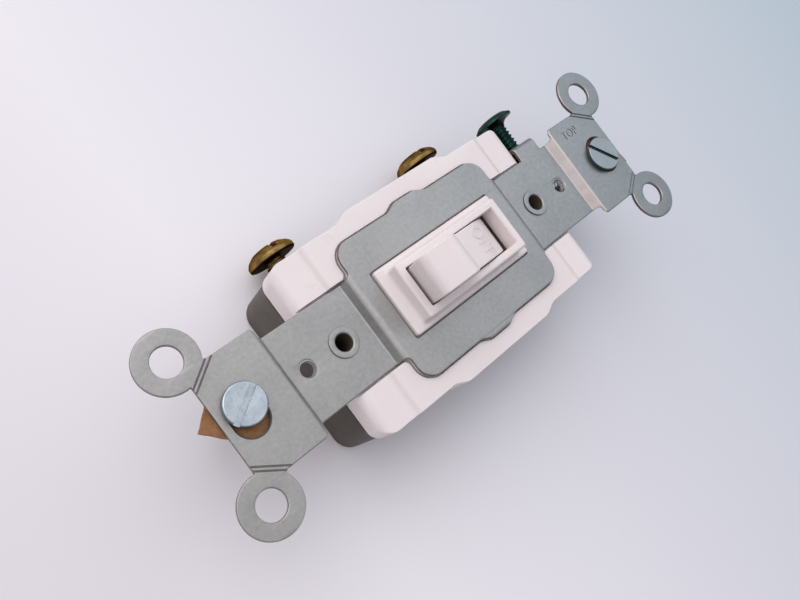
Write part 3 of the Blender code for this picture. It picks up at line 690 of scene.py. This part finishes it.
def silver_contact():
    s = Shader("silver_contact", (0.75, 0.74, 0.70), 0.25, 0.95)
    s.colour(s.ramp(s.noise(1200, 3, 0.6), (0.3, (0.58, 0.57, 0.54)), (0.7, (0.80, 0.79, 0.75))))
    s.rough(s.range(s.noise(1500, 3, 0.6), 0.18, 0.36))
    return s.material


def black_rubber():
    s = Shader("black_rubber", (0.02, 0.02, 0.02), 0.8)
    s.colour(s.ramp(s.noise(1400, 3, 0.6), (0.3, 0.014), (0.7, 0.030)))
    s.rough(s.range(s.noise(900, 3, 0.6), 0.70, 0.90))
    s.normal(s.bump(s.noise(2400, 3, 0.6), 0.20, 0.00005))
    return s.material


def pale_floor():
    """The stage: a pale board, with painted shade that turns it darker and bluer towards +X."""
    s = Shader("pale_floor", (0.84, 0.81, 0.85), 0.75)
    # Painted shade: a little darker at -X, brightest just left of the switch, then darker and bluer
    # towards +X, as the light falls off.
    s.colour(s.ramp(s.along("X", -0.08, 0.16), (0.0, (0.785, 0.75, 0.785)),
                    (0.21, (0.89, 0.86, 0.89)), (0.5, (0.74, 0.745, 0.79)),
                    (1.0, (0.53, 0.62, 0.675))))
    s.rough(s.range(s.noise(30, 3, 0.5), 0.70, 0.80))
    s.bsdf.inputs["Specular IOR Level"].default_value = 0.25
    return s.material


MATERIALS = {maker.__name__: maker() for maker in (
    galvanised_steel, white_plastic, dark_plastic, aged_brass, green_ground_screw, zinc_screw,
    fibreboard, spring_steel, silver_contact, black_rubber)}


# ---------------------------------------------------------------- strap

def offsets(line):
    """The mitred normal at each point of a line that runs left to right, pointing up."""
    normals = []
    for i, point in enumerate(line):
        here = Vector(point)
        a = here - Vector(line[i - 1]) if i > 0 else Vector(line[1]) - here
        b = Vector(line[i + 1]) - here if i < len(line) - 1 else a
        normal_a = Vector((-a.y, a.x)).normalized()
        normal_b = Vector((-b.y, b.x)).normalized()
        mitre = (normal_a + normal_b).normalized()
        normals.append(mitre / mitre.dot(normal_a))
    return normals


def bisect_all(bm, axis, positions, keep=None):
    """Cuts the mesh with planes across an axis; keep(face) limits which faces are cut."""
    for position in positions:
        faces = [f for f in bm.faces if keep is None or keep(f)]
        geometry = set(faces)
        for face in faces:
            geometry.update(face.edges)
            geometry.update(face.verts)
        point = Vector((0, 0, 0))
        point[axis] = position
        normal = Vector((0, 0, 0))
        normal[axis] = 1
        bmesh.ops.bisect_plane(bm, geom=list(geometry), dist=1e-4, plane_co=point, plane_no=normal)


def strap_outline():
    """The strap's flat blank. The ground tab lies straight out to +Y until it is bent."""
    ear = arc(EAR, EAR_R, *EAR_SWEEP, 44)
    quarter = [(*PLATE_BUMP, PLATE_BUMP_R), (PLATE_BUMP_FOOT_X, PLATE_HALF[1], PLATE_BUMP_R),
               (*PLATE_HALF, PLATE_CORNER_R), (PLATE_HALF[0], NECK_HALF_Y, INNER_CORNER_R),
               (FLANGE_START_X, NECK_HALF_Y, 0.5),
               (FLANGE_START_X, FLANGE_HALF_Y, 0.9), (SCORE_X, FLANGE_HALF_Y, 0.25)]
    quarter += [(x, y, 0) for x, y in ear] + [(FLANGE_END_X, SCORE_Y, 0.25)]
    corners = mirrored_round(quarter)
    tab_end = TAB_FLAT_Y - TAB_END_Z
    tab = [(GROUND_X - TAB_HALF_X, NECK_HALF_Y, 0.35), (GROUND_X - TAB_HALF_X, tab_end, 0.6),
           (GROUND_X + TAB_HALF_X, tab_end, 0.6), (GROUND_X + TAB_HALF_X, NECK_HALF_Y, 0.35)]
    after_plate = next(i for i, c in enumerate(corners) if c[:2] == (PLATE_HALF[0], NECK_HALF_Y))
    corners[after_plate + 1:after_plate + 1] = tab
    return rounded(corners)


def strap_holes():
    holes = [rectangle(*WINDOW, 0.3)]
    for side in (-1, 1):
        slot = rectangle(SLOT_R, SLOT_HALF, SLOT_R * ROUND_END, 14)
        holes.append(shifted(slot, SLOT_X * side, 0))
        holes.append(circle((PLATE_SCREW_X * side, 0), PLATE_SCREW_R, 40))
        holes.append(circle((EYELET_X * side, 0), EYELET_HOLE_R, 40))
        for side_y in (-1, 1):
            holes.append(circle((EAR[0] * side, EAR[1] * side_y), EAR_HOLE_R, 44))
    return holes + [circle((GROUND_X, TAB_FLAT_Y - GROUND_Z), GROUND_HOLE_R, 32)]


def bend_strap(bm):
    """Bends the flat blank, whose front is at z = 0, into the strap."""
    (flange, flange_r), (neck, neck_r) = BOTTOM_FLANGE_RISER
    corners = [(-STRAP_BEYOND_X, FACE_Z, 0), (flange, FACE_Z, flange_r), (neck, NECK_Z, neck_r),
               (-PLATE_RISER_X[1], NECK_Z, 0.4), (-PLATE_RISER_X[0], FACE_Z, 1.5),
               (PLATE_RISER_X[0], FACE_Z, 1.5), (PLATE_RISER_X[1], NECK_Z, 0.4)]
    (neck, neck_r), (flange, flange_r) = TOP_FLANGE_RISER
    corners += [(neck, NECK_Z, neck_r), (flange, FACE_Z, flange_r),
                (STRAP_BEYOND_X, FACE_Z, 0)]
    line = bent_line(corners)
    normals = offsets(line)
    bisect_all(bm, 0, [x for x, z in line[1:-1]])
    bend_y = TAB_Y - TAB_BEND_R
    steps = 8
    bend_end = bend_y + TAB_BEND_R * math.pi / 2

    def in_tab(face):
        centre = face.calc_center_median()
        return centre.y > NECK_HALF_Y and abs(centre.x - GROUND_X) < TAB_HALF_X + TAB_MARGIN
    bisect_all(bm, 1, [NECK_HALF_Y + 0.02])
    bisect_all(bm, 1, [bend_y + (bend_end - bend_y) * i / steps for i in range(steps + 1)], in_tab)
    for vert in bm.verts:
        x, y, depth = vert.co
        if y > bend_y and abs(x - GROUND_X) < TAB_HALF_X + TAB_MARGIN:
            angle = min((y - bend_y) / TAB_BEND_R, math.pi / 2)
            past = max(0.0, y - bend_end)
            radius = TAB_BEND_R + depth
            vert.co.y = bend_y + radius * math.sin(angle)
            vert.co.z = NECK_Z - TAB_BEND_R + radius * math.cos(angle) - past
            continue
        i = max(k for k in range(len(line) - 1) if line[k][0] <= x + 1e-6)
        share = (x - line[i][0]) / (line[i + 1][0] - line[i][0])
        top = Vector(line[i]).lerp(Vector(line[i + 1]), share)
        lift = normals[i].lerp(normals[i + 1], share)
        vert.co.x = top.x + lift.x * depth
        vert.co.z = top.y + lift.y * depth


def groove(start, end, half_width, depth):
    """A V-shaped cutter along the front of a flange."""
    start, end = Vector((*start, FACE_Z)), Vector((*end, FACE_Z))
    across = (end - start).normalized().cross(Vector((0, 0, 1)))
    bm = bmesh.new()
    ends = []
    for centre in (start, end):
        ends.append([bm.verts.new(centre + across * half_width * 1.4 + Vector((0, 0, depth * 0.4))),
                     bm.verts.new(centre - across * half_width * 1.4 + Vector((0, 0, depth * 0.4))),
                     bm.verts.new(centre - Vector((0, 0, depth)))])
    for ring in ends:
        bm.faces.new(ring)
    for i in range(3):
        j = (i + 1) % 3
        bm.faces.new((ends[0][i], ends[0][j], ends[1][j], ends[1][i]))
    return from_bmesh("groove", bm)


def lettering(text, width, height, depth):
    """Plain letters of a total width lying in the XY plane, centred, from z = -depth to depth."""
    curve = bpy.data.curves.new(text, "FONT")
    curve.body = text
    curve.extrude = 1.0
    curve.resolution_u = 4
    curve.space_character = 1.1
    shape = add_object(text, curve)
    mesh = evaluated_mesh(shape)
    bpy.data.objects.remove(shape)
    bpy.data.curves.remove(curve)
    obj = add_object(text, mesh)

    def work(bm):
        low = Vector([min(v.co[k] for v in bm.verts) for k in range(3)])
        high = Vector([max(v.co[k] for v in bm.verts) for k in range(3)])
        size = high - low
        for vert in bm.verts:
            centred = vert.co - (low + high) / 2
            vert.co = Vector((centred.x * width / size.x, centred.y * height / size.y,
                              centred.z * 2 * depth / size.z))
        bmesh.ops.remove_doubles(bm, verts=bm.verts, dist=1e-4)
        bmesh.ops.recalc_face_normals(bm, faces=bm.faces)
    return edit(obj, work)


def tapped_collar(side):
    """The extruded and tapped rim under a wall-plate hole."""
    bottom, top, rows = TAPPED_BOTTOM_Z, NECK_Z - 0.12, TAPPED_ROWS
    profile = []
    for i in range(rows + 1):
        height = bottom + (top - bottom) * i / rows

        def radius(angle, height=height):
            phase = (height / THREAD_PITCH - angle / (2 * math.pi)) % 1.0
            return PLATE_SCREW_R - 0.22 + 0.20 * abs(2 * phase - 1)
        profile.append((radius, height))
    profile += [(TAPPED_OUTER_R, top), (TAPPED_OUTER_R - 0.05, bottom + 0.1), (1.8, bottom)]
    return lathe("tapped_collar", profile, (PLATE_SCREW_X * side, 0, 0), (0, 0, 1), 48, closed=True)


def make_strap():
    strap = plate("strap_sheet", strap_outline(), strap_holes(), "XY", -STRAP_THICK, 0, STRAP_EDGE)
    edit(strap, bend_strap)
    along = (Vector((FLANGE_END_X, SCORE_Y)) - Vector((SCORE_X, FLANGE_HALF_Y))).normalized()
    inward = Vector((-along.y, along.x)) * -1
    for side in (-1, 1):
        for side_y in (-1, 1):
            for gap in SCORE_GAPS:
                start = Vector((SCORE_X, FLANGE_HALF_Y)) - along * SCORE_OVERRUN + inward * gap
                end = Vector((FLANGE_END_X, SCORE_Y)) + along * SCORE_OVERRUN + inward * gap
                ends = [(p.x * side, p.y * side_y) for p in (start, end)]
                cut(strap, groove(*ends, *SCORE_GROOVE))
    stamp = lettering("TOP", *STAMP_SIZE)
    stamp.data.transform(Matrix.Translation((*STAMP_AT, FACE_Z)))
    cut(strap, stamp)
    for side in (-1, 1):
        join(strap, tapped_collar(side))
        layers = []
        for grow, height in ((-0.05, -SLOT_CHAMFER - 0.05), (SLOT_CHAMFER + 0.05, 0.05)):
            wide, long = SLOT_R + grow, SLOT_HALF + grow
            outline = shifted(rectangle(wide, long, wide * ROUND_END, 14), SLOT_X * side, 0)
            layers.append((outline, FACE_Z + height))
        cut(strap, lofted("slot_chamfer", layers))
    return place(strap, MATERIALS["galvanised_steel"], "housing", "galvanised_steel", "strap",
                 sharp=30)


# ---------------------------------------------------------------- housing

def plate_recess(gap, neck_end):
    """The centre plate's and the necks' outline, grown by a gap, out to the neck's end."""
    bump = (PLATE_BUMP[0], PLATE_BUMP[1] + gap, PLATE_BUMP_R)
    shoulder = (PLATE_BUMP_FOOT_X, PLATE_HALF[1] + gap, PLATE_BUMP_R)
    corner = (PLATE_HALF[0] + gap, PLATE_HALF[1] + gap, PLATE_CORNER_R + gap)
    inner = (PLATE_HALF[0] + gap, NECK_HALF_Y + gap, INNER_CORNER_R)
    end = (neck_end, NECK_HALF_Y + gap, 0)
    return rounded(mirrored_round([bump, shoulder, corner, inner, end]))


def join_collar(cover):
    """The collar's base and rim, with a hollow fillet between them."""
    base, base_z = COLLAR_BASE[:2], COLLAR_BASE[2]
    rim, rim_z = COLLAR_RIM[:2], COLLAR_RIM[2]
    join(cover, plate("collar_base", rectangle(*base, 0.5, 6), [], "XY", 18, base_z, 0.35, 4))
    foot, steps = 0.7, 6
    fillet = [(foot, base_z - 0.3)]
    for k in range(steps + 1):
        angle = math.pi / 2 * k / steps
        fillet.append((foot * (1 - math.sin(angle)) - 0.01,
                       base_z + foot * (1 - math.cos(angle)) - 0.01))
    layers = [(rectangle(rim[0] + grow, rim[1] + grow, 0.5 + grow, 6), height)
              for grow, height in fillet]
    join(cover, lofted("collar_foot", layers))
    join(cover, plate("collar_rim", rectangle(*rim, 0.55, 6), [], "XY", 18, rim_z, 0.45, 5))


def make_cover():
    """The white front moulding: rails, lower end blocks, neck channels and the collar."""
    bottom = PARTING_Z + 0.1
    outline = rounded(mirrored_round([(*BULGE, 1.6), (12.4, HOUSING_HALF_Y, 1.6),
                                      (COVER_HALF_X, HOUSING_HALF_Y, 2.3)]), 8)
    half = [(19.7, RAIL_Z + 0.1, 1.2), (20.6, BLOCK_Z - 0.1, 1.2),
            (COVER_HALF_X, BLOCK_Z - 0.1, 2.0), (COVER_HALF_X, bottom, 0)]
    section = rounded([(-x, z, r) for x, z, r in reversed(half)] + half, 8)
    cover = prism("front_shell", outline, "XY", bottom, ABOVE)
    combine(cover, prism("section", section, "XZ", -20, 20), "INTERSECT")
    bevel(cover, 0.6, 5)
    recess = prism("recess", plate_recess(PLATE_GAP, ABOVE), "XY", 19.6, ABOVE)
    middle = prism("middle", plate_recess(-0.1, 17.0), "XY", 19.0, RAIL_Z)
    cut(cover, cut(recess, middle))
    channel_y = NECK_HALF_Y + PLATE_GAP
    for side in (-1, 1):
        near, far = sorted((16.6 * side, ABOVE * side))
        cut(cover, block("channel", (near, -channel_y, CHANNEL_Z), (far, channel_y, ABOVE)))
    bevel(cover, 0.14, 2, 45)
    join_collar(cover)
    mouth = rectangle(OPENING[0] + MOUTH_GAP, OPENING[1] + MOUTH_GAP, 0.35, 4)
    cut(cover, plate("opening", mouth, [], "XY", COLLAR_RIM[2] - MOUTH_DEPTH, 27, MOUTH_GAP))
    cut(cover, prism("opening", rectangle(*OPENING, 0.25, 4), "XY", 10, ABOVE))
    cut(cover, prism("barrel_room", circle((0, PIVOT_Z), BARREL_R + 0.5, 96), "XZ",
                     -OPENING[1], OPENING[1]))
    for side in (-1, 1):
        near, far = sorted(y * side for y in COVER_ROOM_Y)
        cut(cover, block("cavity", (-CAVITY_HALF[0], near, 10), (CAVITY_HALF[0], far, CEILING_Z)))
        eyelet_hole = circle((EYELET_X * side, 0), EYELET_HOLE_R, 40)
        cut(cover, prism("eyelet_hole", eyelet_hole, "XY", 10, 25))
    head_room = circle((GROUND_X, GROUND_Z), GROUND_HEAD_R + 0.25)
    cut(cover, prism("ground_head_room", head_room, "XZ", TAB_Y + 0.2, 18))
    saddle = [(-SADDLE_R, 10), (SADDLE_R, 10)] + arc((0, PIVOT_Z), SADDLE_R, 0, 180, 20)
    cut(cover, prism("saddle_room", saddle, "XZ", -7.4, 7.4))
    return place(cover, MATERIALS["white_plastic"], "housing", "white_plastic", "front_cover")


def make_rear_body():
    """The dark rear moulding with its terminal recesses and inner posts."""
    top = PARTING_Z - 0.1
    outline = rectangle(COVER_HALF_X, HOUSING_HALF_Y, 3.5, 12)
    body = prism("rear_shell", outline, "XY", 0, top)
    bevel(body, 0.5, 4)
    cut(body, prism("cavity", rectangle(*CAVITY_HALF, 1.0), "XY", FLOOR_Z, 20))
    for side in (-1, 1):
        half, *ends = POST
        near, far = sorted(y * side for y in ends)
        join(body, block("bearing_post", (-half, near, POST_FOOT_Z), (half, far, top)))
        half, *ends, rib_top = BUMPER_RIB
        near, far = sorted(x * side for x in ends)
        join(body, block("bumper_rib", (near, -half, POST_FOOT_Z), (far, half, rib_top)))
    join(body, block("spring_rib", (9.0, 9.0, POST_FOOT_Z), (10.4, OPENING_Y, 12.4)))
    cut(body, prism("saddle", circle((0, PIVOT_Z), 2.2), "XZ", -8, 8))
    boss = [(0, 0), (1.1, 0), (0.9, 1.2), (0, 1.2)]
    join(body, lathe("spring_boss", boss, (0, 0, 1.4), (0, 0, 1), 32))
    for side in (-1, 1):
        opening = shifted(rectangle(*TERMINAL_OPENING), TERMINAL_X * side, TERMINAL_OPENING_Z)
        cut(body, prism("opening", opening, "XZ", OPENING_Y, OUTSIDE_Y))
        head_room = shifted(rectangle(*HEAD_ROOM), TERMINAL_X * side, HEAD_ROOM_Z)
        cut(body, prism("head_room", head_room, "XZ", HEAD_ROOM_Y, OUTSIDE_Y))
        cut(body, prism("eyelet_hole", circle((EYELET_X * side, 0), EYELET_HOLE_R), "XY", -5, 20))
        well_r, well_depth = EYELET_WELL
        well = circle((EYELET_X * side, 0), well_r)
        cut(body, plate("eyelet_well", well, [], "XY", -3, well_depth, 0.1))
    return place(body, MATERIALS["dark_plastic"], "housing", "dark_plastic", "rear_body")


def make_eyelet(name, side, node):
    """A tubular rivet with a flattened rolled end on the neck and another on the housing's back."""
    outer, inner, flare = 1.85, 1.4, 2.45
    seat, back = NECK_Z + 0.1, 0.75
    edge, lip = 0.1, 0.3
    loop = [(outer, back), (outer, seat), (flare, seat)]
    loop += arc((flare - edge, seat + 0.08), edge, 0, 90, 4)
    loop += arc((inner + lip, seat + 0.16 - lip), lip, 90, 180, 8)
    loop += arc((inner + lip, back - 0.25 + lip), lip, 180, 270, 8)
    loop += arc((flare - edge, back - 0.15), edge, 270, 360, 4) + [(flare, back)]
    eyelet = lathe(name, loop, (EYELET_X * side, 0, 0), (0, 0, 1), 56, closed=True)
    return place(eyelet, MATERIALS["galvanised_steel"], "housing", "galvanised_steel", node)


# ---------------------------------------------------------------- toggle

def toggle_profile():
    """Lever, barrel, web and spring socket about the pivot, with the lever straight up."""
    start = math.degrees(math.asin(LEVER_ROOT_HALF / BARREL_R))
    inner_r = BARREL_R - BARREL_WALL
    web = math.degrees(math.asin(WEB_HALF / inner_r))
    tip = rounded([(LEVER_ROOT_HALF, 0, 0), (LEVER_TIP_HALF, LEVER_END_R, LEVER_TIP_ROUND),
                   (-LEVER_TIP_HALF, LEVER_END_R, LEVER_TIP_ROUND), (-LEVER_ROOT_HALF, 0, 0)], 10)
    points = tip[1:-1]
    points += arc((0, 0), BARREL_R, 90 + start, 90 + BARREL_REACH, 30)
    points += arc((0, 0), inner_r, 90 + BARREL_REACH, 90 + web, 24)
    points.append((-WEB_HALF, -SOCKET_DROP))
    points += arc((0, -SOCKET_DROP), SOCKET_R, 180, 0, 20)
    points.append((WEB_HALF, -SOCKET_DROP))
    points += arc((0, 0), inner_r, 90 - web, 90 - BARREL_REACH, 24)
    points += arc((0, 0), BARREL_R, 90 - BARREL_REACH, 90 - start, 30)
    return points


def barrel_letters(text, width, degrees):
    """Low raised letters wrapped on the barrel, centred at an angle from the lever, their tops
    towards +X."""
    letters = lettering(text, width, LETTER_HEIGHT, LETTER_RELIEF)

    def work(bm):
        bisect_all(bm, 1, [-1.2 + 0.3 * i for i in range(9)])
        for vert in bm.verts:
            u, v, w = vert.co
            angle = math.radians(degrees) + v / BARREL_R
            radius = BARREL_R + w
            vert.co = Vector((radius * math.sin(angle), -u, radius * math.cos(angle)))
    return edit(letters, work)


def make_toggle():
    toggle = plate("toggle_lever", toggle_profile(), [], "XZ", -TOGGLE_HALF_Y, TOGGLE_HALF_Y,
                   0.25, 3)
    axle = [(0, -6.9), (TRUNNION_R - 0.2, -6.9), (TRUNNION_R, -6.7), (TRUNNION_R, 9.0),
            (TRUNNION_R - 0.2, 9.2), (0, 9.2)]
    join(toggle, lathe("trunnions", axle, (0, 0, 0), (0, 1, 0), 40))
    join(toggle, prism("cam", [(1.5, 1), (-1.5, 1), (-1.5, -6), (1.5, -6)], "XZ", 7.8, 9.0))
    lean = Matrix.Translation((0, 0, PIVOT_Z)) @ Matrix.Rotation(math.radians(-THROW / 2), 4, "Y")
    toggle.data.transform(lean)
    place(toggle, MATERIALS["white_plastic"], "toggle", "white_plastic", "toggle")
    for letters in (barrel_letters("OFF", 5.2, LETTER_ANGLE),
                    barrel_letters("ON", 3.6, -LETTER_ANGLE)):
        letters.data.transform(lean)
        place(letters, MATERIALS["white_plastic"], "toggle", "white_plastic")


# ---------------------------------------------------------------- screws and small parts

def thread(major, depth, length, pitch=THREAD_PITCH, rows=8, tip=0.6):
    """The (radius, height) rows of a threaded shank from its tip at -length up to the head at 0."""
    rises = []
    count = int(length / pitch * rows)
    for i in range(count + 1):
        height = -length + length * i / count

        def radius(angle, height=height):
            phase = (height / pitch - angle / (2 * math.pi)) % 1.0
            crest = max(0.0, min(1.0, 2.2 * (1 - abs(2 * phase - 1)) - 0.6))
            fade = min(1.0, (height + length) / tip, -height / 0.7 + 0.02)
            return major - depth + depth * crest * max(0.0, fade)
        rises.append((radius, height))
    return [(0, -length)] + rises


def make_screw(name, head, shank, slot, base, axis, across, material, body, slot_name, node):
    """A slotted screw: head corners (radius, height, rounding), shank (major, thread depth,
    length), slot (width, depth), the head's underside centre, its axis, the slot's direction."""
    screw = lathe(name, bent_line(head), (0, 0, 0), (0, 0, 1), 72)
    top = max(v for u, v, r in head)
    width, depth = slot
    cut(screw, block("slot", (-9, -width / 2, top - depth), (9, width / 2, top + 2)))
    bevel(screw, 0.07, 2, 40)
    major, thread_depth, length = shank
    rows = thread(major, thread_depth, length)
    rows += [(major - thread_depth, 0.3), (0, 0.3)]
    join(screw, lathe("shank", rows, (0, 0, 0), (0, 0, 1), 40))
    axis, across = Vector(axis).normalized(), Vector(across)
    across = (across - axis * across.dot(axis)).normalized()
    turn = Matrix((across, axis.cross(across), axis)).transposed().to_4x4()
    screw.data.transform(Matrix.Translation(base) @ turn)
    return place(screw, MATERIALS[material], body, slot_name, node, sharp=38)


def make_screws():
    rim, top = TERMINAL_HEAD_R, TERMINAL_HEAD_HEIGHT
    thick = [(0, 0, 0), (rim, 0, 0.35), (rim, 0.95, 0.6), (rim * 0.88, 1.65, 1.0),
             (rim * 0.6, top, 1.6), (0, top, 0)]
    for name, side, y in (("line", -1, LINE_HEAD_Y), ("load", 1, LOAD_HEAD_Y)):
        make_screw(name + "_terminal_screw", thick, TERMINAL_SHANK, (1.0, 1.1),
                   (TERMINAL_X * side, y, TERMINAL_Z), (0, 1, 0), (0, 0, 1),
                   "aged_brass", name + "_screw", "aged_brass", name + "_screw")
    rim = GROUND_HEAD_R
    flared = [(0, -1.3, 0), (1.35, -1.3, 0), (1.75, -0.5, 1.2), (2.8, 0, 0.8), (rim, 0.12, 0.12),
              (rim, 0.55, 0.25), (rim * 0.7, 1.3, 1.6), (0, 1.5, 0)]
    make_screw("ground_terminal_screw", flared, GROUND_SHANK, (1.0, 0.9),
               (GROUND_X, GROUND_HEAD_Y, GROUND_Z), (0, 1, 0), (1, 0, 0.3),
               "green_ground_screw", "ground_screw", "green_ground_screw", "ground_screw")
    flat = [(0, 0, 0), (3.2, 0, 0.1), (3.2, 1.3, 0.28), (0, 1.3, 0)]
    low = [(0, 0, 0), (3.35, 0, 0.1), (3.35, 0.85, 0.2), (0, 0.85, 0)]
    for name, head, width, centre, turn in (("bottom", flat, 0.95, BOTTOM_SCREW, 32),
                                            ("top", low, 0.7, TOP_SCREW, 127)):
        angle = math.radians(turn)
        make_screw(name + "_mounting_screw", head, MOUNT_SHANK, (width, head[-1][1] * 0.6),
                   (*centre, MOUNT_HEAD_Z), (0, 0, 1), (math.cos(angle), math.sin(angle), 0),
                   "zinc_screw", "mounting_screw_" + name, "zinc_screw", "mounting_screw_" + name)


def make_washer(name, centre, screw, turn, node):
    """A square of fibreboard, punched rather than cut, so its outline wavers."""
    spin = Matrix.Rotation(math.radians(turn), 2)
    random.seed(turn)
    outline = []
    corners = rectangle(WASHER_HALF, WASHER_HALF)
    points_a_side = 12
    for i in range(4):
        a, b = Vector(corners[i]), Vector(corners[(i + 1) % 4])
        for k in range(points_a_side):
            point = a.lerp(b, k / points_a_side)
            inward = -point.normalized() * random.uniform(0.0, WASHER_WAVER)
            outline.append(tuple(spin @ (point + inward)))
    top = FACE_Z - STRAP_THICK - 0.1
    hole = circle(screw, WASHER_HOLE_R, 36)
    washer = plate(name, shifted(outline, *centre), [hole], "XY", top - WASHER_THICK, top, 0.08)
    return place(washer, MATERIALS["fibreboard"], node, "fibreboard", node)


def softened_copy(name, node, material, body, edge):
    """A CAD sheet-metal part with its sharp edges taken off."""
    obj = add_object(name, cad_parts[node].data.copy())
    obj.data.transform(Matrix.Scale(1 / MM, 4))
    bevel(obj, edge, 2, 40)
    return place(obj, MATERIALS[material], body, material, node)


# ---------------------------------------------------------------- stage

def make_stage():
    bm = bmesh.new()
    bmesh.ops.create_grid(bm, x_segments=24, y_segments=24, size=1.2)
    mesh = bpy.data.meshes.new("floor")
    bm.to_mesh(mesh)
    bm.free()
    mesh.materials.append(pale_floor())
    floor = add_object("floor", mesh)

    world = bpy.data.worlds.new("studio")
    world.use_nodes = True
    nodes, links = world.node_tree.nodes, world.node_tree.links
    background = nodes["Background"]
    background.inputs["Color"].default_value = (0.93, 0.93, 1.0, 1)
    split = nodes.new("ShaderNodeSeparateXYZ")
    links.new(nodes.new("ShaderNodeTexCoord").outputs["Generated"], split.inputs[0])
    squared = nodes.new("ShaderNodeMath")
    squared.operation = "POWER"
    squared.inputs[1].default_value = 2.0
    links.new(split.outputs["Z"], squared.inputs[0])
    overhead = nodes.new("ShaderNodeMapRange")
    overhead.inputs["To Min"].default_value = 0.2
    overhead.inputs["To Max"].default_value = 1.05
    links.new(squared.outputs[0], overhead.inputs["Value"])
    bright_side = nodes.new("ShaderNodeMapRange")
    bright_side.inputs["From Min"].default_value = -1.0
    bright_side.inputs["To Min"].default_value = 0.45
    bright_side.inputs["To Max"].default_value = 1.55
    links.new(split.outputs["Y"], bright_side.inputs["Value"])
    strength = nodes.new("ShaderNodeMath")
    strength.operation = "MULTIPLY"
    links.new(overhead.outputs["Result"], strength.inputs[0])
    links.new(bright_side.outputs["Result"], strength.inputs[1])
    links.new(strength.outputs[0], background.inputs["Strength"])
    bpy.context.scene.world = world

    def area(name, location, target, size, watts, colour):
        light = bpy.data.lights.new(name, "AREA")
        light.shape = "RECTANGLE"
        light.size, light.size_y = size
        light.energy = watts
        light.color = colour
        obj = add_object(name, light)
        obj.location = location
        obj.rotation_euler = (Vector(target) - Vector(location)).to_track_quat("-Z", "Y").to_euler()

    area("key", (-0.16, 0.40, 0.48), (0, 0, 0), (0.7, 0.7), 1.85, (1.0, 0.965, 0.955))
    area("side", (-0.46, 0.0, 0.34), (0, 0, 0.01), (0.5, 0.3), 0.26, (1.0, 0.93, 0.92))
    area("fill", (0.50, 0.12, 0.42), (0, 0, 0), (0.5, 0.5), 0.5, (0.88, 0.94, 1.0))

    camera = bpy.data.cameras.new("camera")
    camera.lens = 34.96
    camera.sensor_width = 36
    camera.clip_start = 0.005
    view = add_object("camera", camera)
    view.location = (-0.0706, -0.00124, 0.12697)
    view.rotation_euler = [math.radians(a) for a in (18.85, -22.67, -40.15)]
    bpy.context.scene.camera = view
    bpy.context.scene.view_settings.view_transform = "Standard"


def main():
    make_strap()
    make_cover()
    make_rear_body()
    make_eyelet("bottom_rivet", -1, "eyelet_bottom")
    make_eyelet("top_rivet", 1, "eyelet_top")
    make_toggle()
    make_screws()
    make_washer("bottom_washer", (-SLOT_X, 1.3), BOTTOM_SCREW, 42, "washer_bottom")
    make_washer("top_washer", (SLOT_X, 0), TOP_SCREW, 8, "washer_top")
    softened_copy("line_plate", "line_terminal", "aged_brass", "housing", 0.1)
    softened_copy("load_plate", "load_terminal", "aged_brass", "housing", 0.1)
    for node, slot in (("detent_spring", "spring_steel"), ("contact_spring", "spring_steel"),
                       ("spring_cup", "dark_plastic"), ("bumper_off", "black_rubber"),
                       ("bumper_on", "black_rubber"), ("contact_arm", "aged_brass"),
                       ("moving_contact", "silver_contact"), ("fixed_contact", "silver_contact")):
        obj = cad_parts[node]
        for material_slot in obj.material_slots:
            material_slot.material = MATERIALS[slot]
    make_stage()


main()
